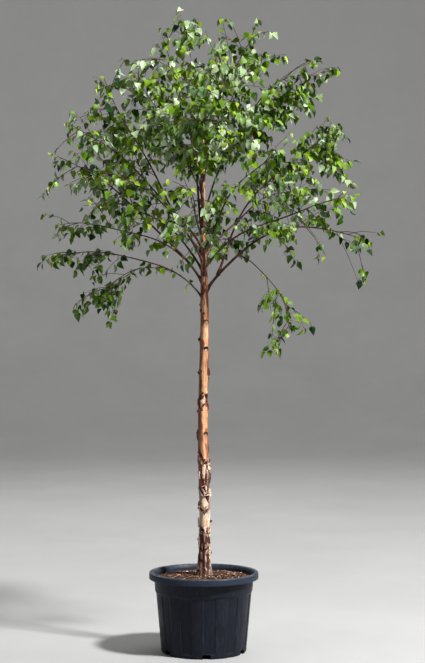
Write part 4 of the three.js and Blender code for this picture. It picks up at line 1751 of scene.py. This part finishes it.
@dataclass(frozen=True)
class BoughBarkTubes:
    """The boughs and the stems that they go on as, each with its collar, its nodes and its taper."""

    skeleton: Skeleton
    sides: int = 12
    pieces: int = 8  # of each straight stretch
    collar: float = 0.9  # how much wider the foot is, as a share
    collar_length: float = 0.022
    collar_fade: float = 0.035  # over which its colour goes from the trunk's to its own
    node_gap: float = 0.058
    node_swell: float = 0.16
    unevenness: float = 0.14
    slimming: float = 0.86

    def build(self, name: str) -> None:
        """Build and dress one bough.

        Args:
            name: The name of its limb.
        """
        line = self.skeleton.limbs[name].smoothed(self.pieces)
        run = np.concatenate(([0.0], np.cumsum(line.stretches())))[:, None]
        angles = np.arange(self.sides) * 2 * np.pi / self.sides
        seat = self.skeleton.trunk.clear_radius * 0.8
        collar = self.collar * np.exp(-np.maximum(run - seat, 0) / self.collar_length)
        along = np.mod(run, self.node_gap) / self.node_gap - 0.5
        nodes = self.node_swell * np.exp(-((along / 0.07) ** 2)) * (1 + np.cos(angles - run * 40)) / 2
        place = level(angles) + UP * 60 * run[..., None]
        uneven = self.unevenness * (soft_noise(place + 6, seed_of(name) % 997, 2) - 0.5)
        shape = Shape()
        foot = np.repeat(np.exp(-np.maximum(run - seat, 0) / self.collar_fade), self.sides)
        shape.tube(line, self.sides, swell=self.slimming * (1 + collar + nodes + uneven), foot=foot)
        bark = BoughBark("limb_bark", (0.066, 0.021, 0.0115), (0.016, 0.006, 0.0045), (0.13, 0.065, 0.042))
        placed(shape.mesh("bough_bark_" + name), [bark], "bough_bark", "bough_" + name)


# ---- foliage


@dataclass(frozen=True)
class LeafForm:
    """One leaf: ovate, widest near its foot, toothed, folded at its midrib and curled at its tip."""

    length: float = 0.0400
    width: float = 0.0308
    widest_at: float = 0.32
    teeth: int = 6
    tooth: float = 0.09
    fold: Span = (6.0, 30.0)
    curl: Span = (8.0, 62.0)

    def half_width(self, along: Array) -> Array:
        """Work out the outline of the blade.

        Args:
            along: Shares of the length.

        Returns:
            The distance from the midrib to the edge, as a share of the widest.
        """
        foot = np.sin(np.pi / 2 * np.clip(along / self.widest_at, 0, 1) ** 0.62)
        past = np.clip((along - self.widest_at) / (1 - self.widest_at), 0, 1)
        return np.where(along < self.widest_at, foot, (1 - past) ** 1.12 * (1 + 0.32 * past))

    def template(self) -> tuple[Array, Array]:
        """Work out the flat blade.

        Returns:
            Its points as distances across and along, and its faces.
        """
        stations = np.arange(self.teeth + 1) / self.teeth
        tips = (np.arange(self.teeth) + 0.66) / self.teeth
        points = [np.stack((0 * stations, stations), -1)]
        faces = []
        for side in (-1, 1):
            notches = np.stack((side * self.half_width(stations[1:-1]), stations[1:-1]), -1)
            teeth = np.stack((side * (self.half_width(tips) + self.tooth), tips), -1)
            first = sum(len(part) for part in points)
            points += [notches, teeth]
            margin = [0, *range(first, first + self.teeth - 1), self.teeth]
            for i in range(self.teeth):
                low, high = margin[i], margin[i + 1]
                ring = [(i, high, low), (i, i + 1, high), (low, high, first + self.teeth - 1 + i)]
                kept = [face for face in ring if len(set(face)) == 3]
                faces += [face[::-1] if side < 0 else face for face in kept]
        return np.concatenate(points), np.array(faces)


@dataclass(frozen=True)
class TwigRule:
    """How twigs leave a stem. This is the rule of the part's source."""

    spacing: float = 0.076
    length: float = 0.250
    shortest: float = 0.55
    spread: float = 52.0
    jitter: float = 14.0
    vary: float = 0.2
    droop: float = 0.5
    radii: tuple[float, ...] = (0.0022, 0.00165, 0.0011)  # from the foot to the tip
    first: float = 0.55  # of the spacing, where the first twig leaves
    cuts: tuple[float, ...] = (1.0, 0.75, 0.5)
    golden_angle: float = 137.5

    def twigs(self, name: str, stem: Line, step: float, test: Test) -> list[Line]:
        """Grow the twigs of one mass.

        Args:
            name: The name of the mass's stem.
            stem: Its line.
            step: Length of one straight stretch of the stem.
            test: Whether a point lies in the mass's own space.

        Returns:
            The line of each twig that found room.
        """
        random = Seeded(seed_of(name) + 1)
        whole = stem.length()
        grown = []
        for index in range(int(whole / self.spacing)):
            along = self.spacing * (index + self.first)
            ahead = unit(stem.at(along + step / 2) - stem.at(along - step / 2))
            roll = random.about(self.golden_angle * index, self.jitter)
            across = turned(unit(np.cross(ahead, UP)), ahead, roll)
            spread = math.radians(random.about(self.spread, self.jitter))
            way = ahead * math.cos(spread) + across * math.sin(spread)
            length = self.length * (1 - (1 - self.shortest) * along / whole) * random.about(1, self.vary)
            for kept in self.cuts:
                line = Line.drooping(stem.at(along), way, length * kept, self.droop, self.radii)
                if all(test(point) for point in line.middles[1:]):
                    grown.append(line)
                    break
        return grown


@dataclass(frozen=True)
class Dome:
    """The rounded outline that the upper crown fills."""

    reach: float = 0.72
    foot: float = 1.50  # height above the growing medium
    top: float = 2.58

    def holds(self, points: Array) -> Array:
        """Return which points lie inside the dome."""
        share = (points[:, 2] - GROUND - self.foot) / (self.top - self.foot)
        return (share > 0) & (np.hypot(points[:, 0], points[:, 1]) ** 2 < self.reach**2 * (1 - share**2))


@dataclass
class Room:
    """Where twigs have grown so far, so that the next ones can grow where there is room."""

    taken: list[Array] = field(default_factory=list)

    def fill(self, twig: Line) -> None:
        """Note a twig that has grown."""
        self.taken.extend(twig.smoothed(2).middles[1:])

    def around(self, twig: Line) -> float:
        """Measure how open the room around a twig is.

        Args:
            twig: The twig.

        Returns:
            The sum of the distances from its points to the nearest others.
        """
        if not self.taken:
            return 0.0
        points = twig.smoothed(2).middles[1:]
        gaps = np.linalg.norm(points[:, None] - np.array(self.taken), axis=-1)
        return float(gaps.min(axis=1).sum())


@dataclass
class Foliage:
    """One mass of foliage: the source's twigs, finer shoots on them, and single leaves."""

    skeleton: Skeleton
    name: str
    room: Room
    rule: TwigRule = TwigRule()
    leaf: LeafForm = LeafForm()
    reach: float = 0.075  # from the source's own twigs
    reach_inside: float = 0.17  # the same, inside the dome of the crown
    dome: Dome = Dome()
    node_gap: float = 0.020  # along a twig
    stem_gap: float = 0.024  # along the stem
    shoot_length: Span = (0.055, 0.125)
    shoot_droop: float = 1.1
    shoot_radii: tuple[float, ...] = (0.0011, 0.0009, 0.0007, 0.0005)
    leaf_gap: float = 0.0205  # along a shoot
    leaf_clearance: float = 0.012  # from the trunk and the boughs
    leaf_sizes: Span = (0.76, 1.16)
    young_size: float = 0.66
    young_from: float = 0.93  # of the way along a twig
    young_share: float = 0.45  # of the sprays past that
    pairs: float = 0.7  # share of the nodes with two leaves
    stalk: Span = (0.010, 0.019)
    stalk_radius: float = 0.00075
    dense_from: float = 1.70  # height above the growing medium where the foliage thickens
    dense_to: float = 2.05
    thinnest: float = 0.41  # low down
    open_top: float = 0.66  # how much opener it is at the tip
    open_from: float = 2.04
    open_core: float = 0.50  # low down, near the trunk
    core_reach: Span = (0.16, 0.40)
    open_side: float = 0.40  # far out from the trunk
    open_reach: Span = (0.22, 0.68)
    tip_share: float = 0.9  # of a twig; past it every node bears
    finer_gap: float = 0.030
    finer_length: Span = (0.12, 0.30)
    finer_girth: float = 0.7
    choices: int = 6  # ways among which a finer twig takes the most open one
    bough_gap: float = 0.045  # along the outer part of a bough
    bough_first: float = 0.4  # share of a bough where that part starts
    twig_first: float = 0.16
    full_masses: tuple[str, ...] = ("upright_right", "fork_right", "crest_right")  # thick at the side too
    full_gap: float = 0.6  # of the gap between finer twigs, in these
    full_limbs: tuple[str, ...] = ("low_left", "weeping_left")  # thick low down too
    full_least: float = 0.64  # the least thickness in those

    def __post_init__(self) -> None:
        """Set out the space of the mass and its own stream of numbers."""
        self.test = self.skeleton.space_of(self.name)
        self.random = np.random.default_rng(seed_of(self.name))
        self.wood = Shape()
        self.leaves: dict[Tint, list[Leaf]] = {tint: [] for tint in Tint}

    def grow(self) -> None:
        """Grow every twig, shoot and leaf of the mass."""
        stem = self.skeleton.stems[self.name]
        twigs = self.rule.twigs(self.name, stem, self.skeleton.step, self.test)
        self.near = np.concatenate([line.smoothed(3).middles for line in (stem, *twigs)])
        for twig in twigs:
            self.room.fill(twig)
        self.bear(stem, self.stem_gap, 0.0)
        if self.name in self.skeleton.boughs:
            self.bear(self.skeleton.boughs[self.name], self.bough_gap, self.bough_first)
        for twig in [*twigs, *self.finer_twigs(stem)]:
            self.wood.tube(twig.smoothed(3), 5)
            self.bear(twig, self.node_gap, self.twig_first)

    def fits(self, line: Line) -> bool:
        """Test whether a line has room.

        Args:
            line: The twig or shoot.

        Returns:
            Whether it stays in the mass's own space and within reach of the source's twigs.
        """
        points = line.middles[1:]
        gaps = np.linalg.norm(points[:, None] - self.near, axis=-1).min(axis=1)
        reach = np.where(self.dome.holds(points), self.reach_inside, self.reach)
        return bool((gaps < reach).all()) and all(self.test(point) for point in points)

    def finer_twigs(self, stem: Line) -> list[Line]:
        """Grow the thinner twigs that stand between those of the source.

        Args:
            stem: The line of the mass's stem.

        Returns:
            The line of each one that found room.
        """
        gap = self.finer_gap * (self.full_gap if self.name in self.full_masses else 1.0)
        radii = np.array(self.rule.radii) * self.finer_girth
        grown = []
        for index in range(int(stem.length() / gap)):
            along = gap * (index + self.random.uniform(0.1, 0.9))
            if self.random.random() > self.thickness(stem.at(along)):
                continue
            ahead = unit(stem.at(along + 0.03) - stem.at(along - 0.03))
            fitting = []
            for _ in range(self.choices):
                across = turned(unit(np.cross(ahead, UP)), ahead, self.random.uniform(0, 360))
                way = unit(ahead * self.random.uniform(0.3, 1.2) + across)
                length = self.random.uniform(*self.finer_length)
                line = Line.drooping(stem.at(along), way, length, self.rule.droop, radii)
                if self.fits(line):
                    fitting.append(line)
            if fitting:
                grown.append(max(fitting, key=self.room.around))
                self.room.fill(grown[-1])
        return grown

    def thickness(self, point: Array) -> float:
        """Work out how full the foliage is.

        Args:
            point: The point.

        Returns:
            The share of nodes that bear there.
        """
        height = point[2] - GROUND
        away = math.hypot(point[0], point[1])
        below = 1 - eased(height, self.dense_from, self.dense_to)
        low = 1 - (1 - self.thinnest) * below
        high = 1 - self.open_top * eased(height, self.open_from, self.skeleton.trunk.leader_height)
        open_side = 0.0 if self.name in self.full_masses else self.open_side
        side = 1 - open_side * eased(away, *self.open_reach) * (1 - 0.5 * below)
        core = 1 - self.open_core * below * (1 - eased(away, *self.core_reach))
        least = self.full_least if self.name in self.full_limbs else 0.0
        return max(least, float(low * high * side * core))

    def bear(self, line: Line, gap: float, first: float) -> None:
        """Set side shoots and leaves along a line, by turns to its left and right.

        Args:
            line: The twig or stem that bears them.
            gap: Distance between two nodes.
            first: The share of its length where they start.
        """
        whole = line.length()
        count = max(2, int(whole * (1 - first) / gap))
        for k in range(count + 1):
            share = first + (1 - first) * k / count
            foot = line.at(whole * share)
            ahead = unit(foot - line.at(max(0.0, whole * share - 0.03)) + UP * 1e-6)
            across = unit(np.cross(ahead, UP)) * (1 if k % 2 else -1)
            tint = self.tint_of(foot, share)
            if share < self.tip_share and self.random.random() > self.thickness(foot):
                continue
            if k % 2 and k < count:
                self.shoot(foot, ahead, across, share, tint)
            else:
                for _ in range(2 if self.random.random() < self.pairs else 1):
                    self.leaf_at(foot, ahead, across, tint, 1.0)
                    across = -across

    def tint_of(self, foot: Array, share: float) -> Tint:
        """Draw the tint of a spray.

        Args:
            foot: Where the spray leaves its twig.
            share: How far along the twig that is.

        Returns:
            A tint, younger at the tips, and deeper inside and lower down as painted shade, where the painted
            sheen is dealt less often.
        """
        draw = self.random.random()
        if share > self.young_from and draw < self.young_share:
            return Tint.YOUNG
        lifted = max(0.0, foot[2] - GROUND - self.skeleton.trunk.clear_height)
        inside = 1 - min(1.0, math.hypot(foot[0], foot[1] * 0.45, lifted * 0.55) / 0.62)
        low = 1 - float(eased(foot[2] - GROUND, 1.35, 2.15))
        # painted shade: inside and low down the deep tint is dealt more often, the painted sheen and the
        # fresh tint less often
        shade = min(1.0, 0.75 * inside + 0.45 * low)
        shares = (0.02, 0.25 - 0.17 * shade, 0.22 - 0.15 * shade, 0.37, 0.08 + 0.32 * shade, 0.06)
        return list(Tint)[int(np.searchsorted(np.cumsum(shares)[:-1], self.random.random()))]

    def shoot(self, foot: Array, ahead: Array, across: Array, share: float, tint: Tint) -> None:
        """Grow a fine side shoot with leaves along it, if it has room.

        Args:
            foot: Where it leaves its twig.
            ahead: The way of the twig there.
            across: The side that it leaves to.
            share: How far along the twig that is.
            tint: The tint of its leaves.
        """
        lean = self.random.normal(0, 0.28, 3)
        way = unit(ahead * 0.75 + across * self.random.uniform(0.5, 1.1) + UP * 0.1 + lean)
        length = self.random.uniform(*self.shoot_length) * (1.1 - 0.45 * share)
        line = Line.drooping(foot, way, length, self.shoot_droop, self.shoot_radii)
        if not self.fits(line):
            self.leaf_at(foot, ahead, across, tint, 1.0)
            return
        self.wood.tube(line, 4)
        count = max(2, round(length / self.leaf_gap))
        for k in range(count):
            at = length * (k + 1) / count
            here = line.at(at)
            on = unit(here - line.at(at - 0.02))
            side = unit(np.cross(on, UP)) * (1 if k % 2 else -1)
            self.leaf_at(here, on, side, tint, 1.0 - 0.3 * (k / count) * (tint is Tint.YOUNG))

    def leaf_at(self, foot: Array, ahead: Array, across: Array, tint: Tint, size: float) -> None:
        """Hang one leaf on its stalk, turned to the side and to the light.

        Args:
            foot: Where its stalk leaves the wood.
            ahead: The way of the wood there.
            across: The side that it leaves to.
            tint: Its tint.
            size: Its size, 1 being full grown.
        """
        out = unit(np.array((foot[0], foot[1], 0.0)) + 1e-6)
        stalk_way = unit(ahead * 0.5 + across * 0.8 - UP * 0.25 + self.random.normal(0, 0.35, 3))
        tip = foot + stalk_way * self.random.uniform(*self.stalk)
        way = unit(stalk_way * 0.55 - UP * 0.85 + out * 0.22 + self.random.normal(0, 0.42, 3))
        wanted = UP * 0.75 + out * 0.6 + self.random.normal(0, 0.75, 3)
        facing = unit(wanted - way * np.dot(wanted, way))
        if self.skeleton.hard.clearances(tip + way * self.leaf.length / 2).min() < self.leaf_clearance:
            return
        bend = foot + (tip - foot) * 0.55 + UP * 0.001
        self.wood.tube(Line(np.array((foot, bend, tip)), np.full(3, self.stalk_radius)), 3, 1)
        young = self.young_size if tint is Tint.YOUNG else 1.0
        self.leaves[tint].append((tip, way, facing, size * young * self.random.uniform(*self.leaf_sizes)))

    def blades(self, flat: Array, leaves: Sequence[Leaf]) -> Array:
        """Bend the flat blade into every leaf of a tint.

        Args:
            flat: The points of the flat blade, as distances across and along.
            leaves: The leaves.

        Returns:
            The points of each leaf in turn.
        """
        across, along = flat[:, 0], flat[:, 1]
        count = len(leaves)
        feet, ways, facings, sizes = (np.array(part) for part in zip(*leaves))
        size = sizes[:, None]
        fold = np.radians(self.random.uniform(*self.leaf.fold, (count, 1)))
        curl = np.radians(self.random.uniform(*self.leaf.curl, (count, 1)))
        half = self.leaf.width / 2 * size * self.random.uniform(0.86, 1.1, (count, 1))
        ripple = 0.05 * np.sin(along * 9 + self.random.uniform(0, 6, (count, 1))) * np.abs(across)
        wide = across * half * np.cos(fold)
        lift = half * (np.abs(across) * np.sin(fold) + ripple)
        turn = curl * along
        run = self.leaf.length * size * np.sin(turn) / curl + lift * np.sin(turn)
        rise = lift * np.cos(turn) - self.leaf.length * size * (1 - np.cos(turn)) / curl
        points = feet[:, None] + np.cross(ways, facings)[:, None] * wide[..., None]
        return points + ways[:, None] * run[..., None] + facings[:, None] * rise[..., None]

    def build(self) -> None:
        """Build and dress the twigs and the leaves of the mass."""
        self.grow()
        flat, faces = self.leaf.template()
        shape = Shape()
        for number, leaves in enumerate(self.leaves.values()):
            count = len(leaves)
            if not count:
                continue
            every = (faces + (np.arange(count) * len(flat))[:, None, None]).reshape(-1, 3)
            across, along = np.tile(np.abs(flat[:, 0]), count), np.tile(flat[:, 1], count)
            points = self.blades(flat, leaves).reshape(-1, 3)
            shape.add(points, [every], number, across=across, along=along)
        node = "foliage_" + self.name
        wood = [
            BoughBark("twig_bark", (0.090, 0.036, 0.018), (0.024, 0.010, 0.007), (0.20, 0.11, 0.07)),
            BoughBark("leaf_stalk", (0.24, 0.24, 0.055), (0.13, 0.14, 0.03), (0.3, 0.2, 0.08)),
        ]
        placed(self.wood.mesh("twigs_" + self.name), wood, "bough_bark", node)
        placed(shape.mesh("leaves_" + self.name), [tint.value for tint in Tint], "leaves", node)


# ---- studio


@dataclass(frozen=True)
class Studio:
    """A pale floor that curves up into walls, soft lamps, and a level camera in front."""

    floor_radius: float = 18.0
    bend: float = 7.0
    wall_height: float = 12.0
    floor_sides: int = 72
    camera_distance: float = 6.98
    camera_side: float = 0.040
    camera_height: float = 1.455
    lens: float = 82.5
    shift_up: float = 0.0038

    def build(self) -> None:
        """Build the floor, the lamps and the camera."""
        self.floor()
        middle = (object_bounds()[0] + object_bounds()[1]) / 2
        self.lamp("key_lamp", (5.2, -3.5, 8.0), middle, size=1.1, power=2200.0)
        self.lamp("fill_lamp", (-5.2, -4.4, 3.0), middle, size=3.2, power=25.0)
        self.lamp("top_lamp", (0.6, 1.4, 6.8), middle, size=4.0, power=220.0)
        self.lamp("back_lamp", (-3.6, 5.4, 4.6), middle, size=2.6, power=80.0)
        for number in range(4):
            way = heading(90 * number, 0)
            foot = way * 5.0 + UP * 7.5
            self.lamp(f"wall_lamp_{number}", foot, foot + way * 10 - UP * 4, size=3.0, power=410.0)
        world = bpy.data.worlds.new("studio_sky")
        world.use_nodes = True
        world.node_tree.nodes["Background"].inputs["Color"].default_value = (0.97, 0.98, 1.0, 1.0)
        world.node_tree.nodes["Background"].inputs["Strength"].default_value = 0.13
        bpy.context.scene.world = world
        bpy.context.scene.view_settings.view_transform = "Standard"
        self.camera()

    def floor(self) -> None:
        """Build the floor and its curved wall."""
        foot = (self.floor_radius, 0.0, self.bend)
        outline = rounded([(0.0, 0.0, 0.0), foot, (self.floor_radius, self.wall_height, 0.0)], 16)
        angles = np.arange(self.floor_sides) * 2 * np.pi / self.floor_sides
        points = level(angles) * outline[:, :1, None] + UP * outline[:, 1:, None]
        shape = Shape()
        shape.add(points.reshape(-1, 3), [grid_faces(len(outline), len(angles), True)])
        mesh = shape.mesh("studio_floor")
        mesh.materials.append(StudioFloor().material())
        floor = linked("studio_floor", mesh)
        floor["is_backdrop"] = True

    @staticmethod
    def lamp(name: str, place: Sequence[float], target: Sequence[float], size: float, power: float) -> None:
        """Hang a square soft lamp.

        Args:
            name: Its name.
            place: Where it hangs.
            target: What it points at.
            size: The length of its side.
            power: Its power in watts.
        """
        light = bpy.data.lights.new(name, "AREA")
        light.energy = power
        light.size = size
        lamp = linked(name, light)
        lamp.location = place
        aim = mathutils.Vector(target) - lamp.location
        lamp.rotation_euler = aim.to_track_quat("-Z", "Y").to_euler()

    def camera(self) -> None:
        """Set up the camera, level and in front of the container."""
        data = bpy.data.cameras.new("studio_camera")
        data.lens = self.lens
        data.shift_y = self.shift_up
        camera = linked("studio_camera", data)
        camera.location = (self.camera_side, -self.camera_distance, self.camera_height)
        camera.rotation_euler = (math.radians(90), 0.0, 0.0)
        bpy.context.scene.camera = camera


def main() -> None:
    """Build the container, the stem, the boughs and the foliage in turn, then the studio."""
    logging.basicConfig(level=logging.INFO, format="%(name)s: %(message)s")
    Container().build()
    GrowingMedium().build()
    skeleton = Skeleton()
    trunk = TrunkBark(skeleton.trunk)
    trunk.build()
    trunk.stubs()
    LooseBark(trunk).build()
    boughs = BoughBarkTubes(skeleton)
    for name in skeleton.boughs:
        boughs.build(name)
    room = Room()
    for name in skeleton.stems:
        Foliage(skeleton, name, room).build()
    Studio().build()


if __name__ == "__main__":
    main()
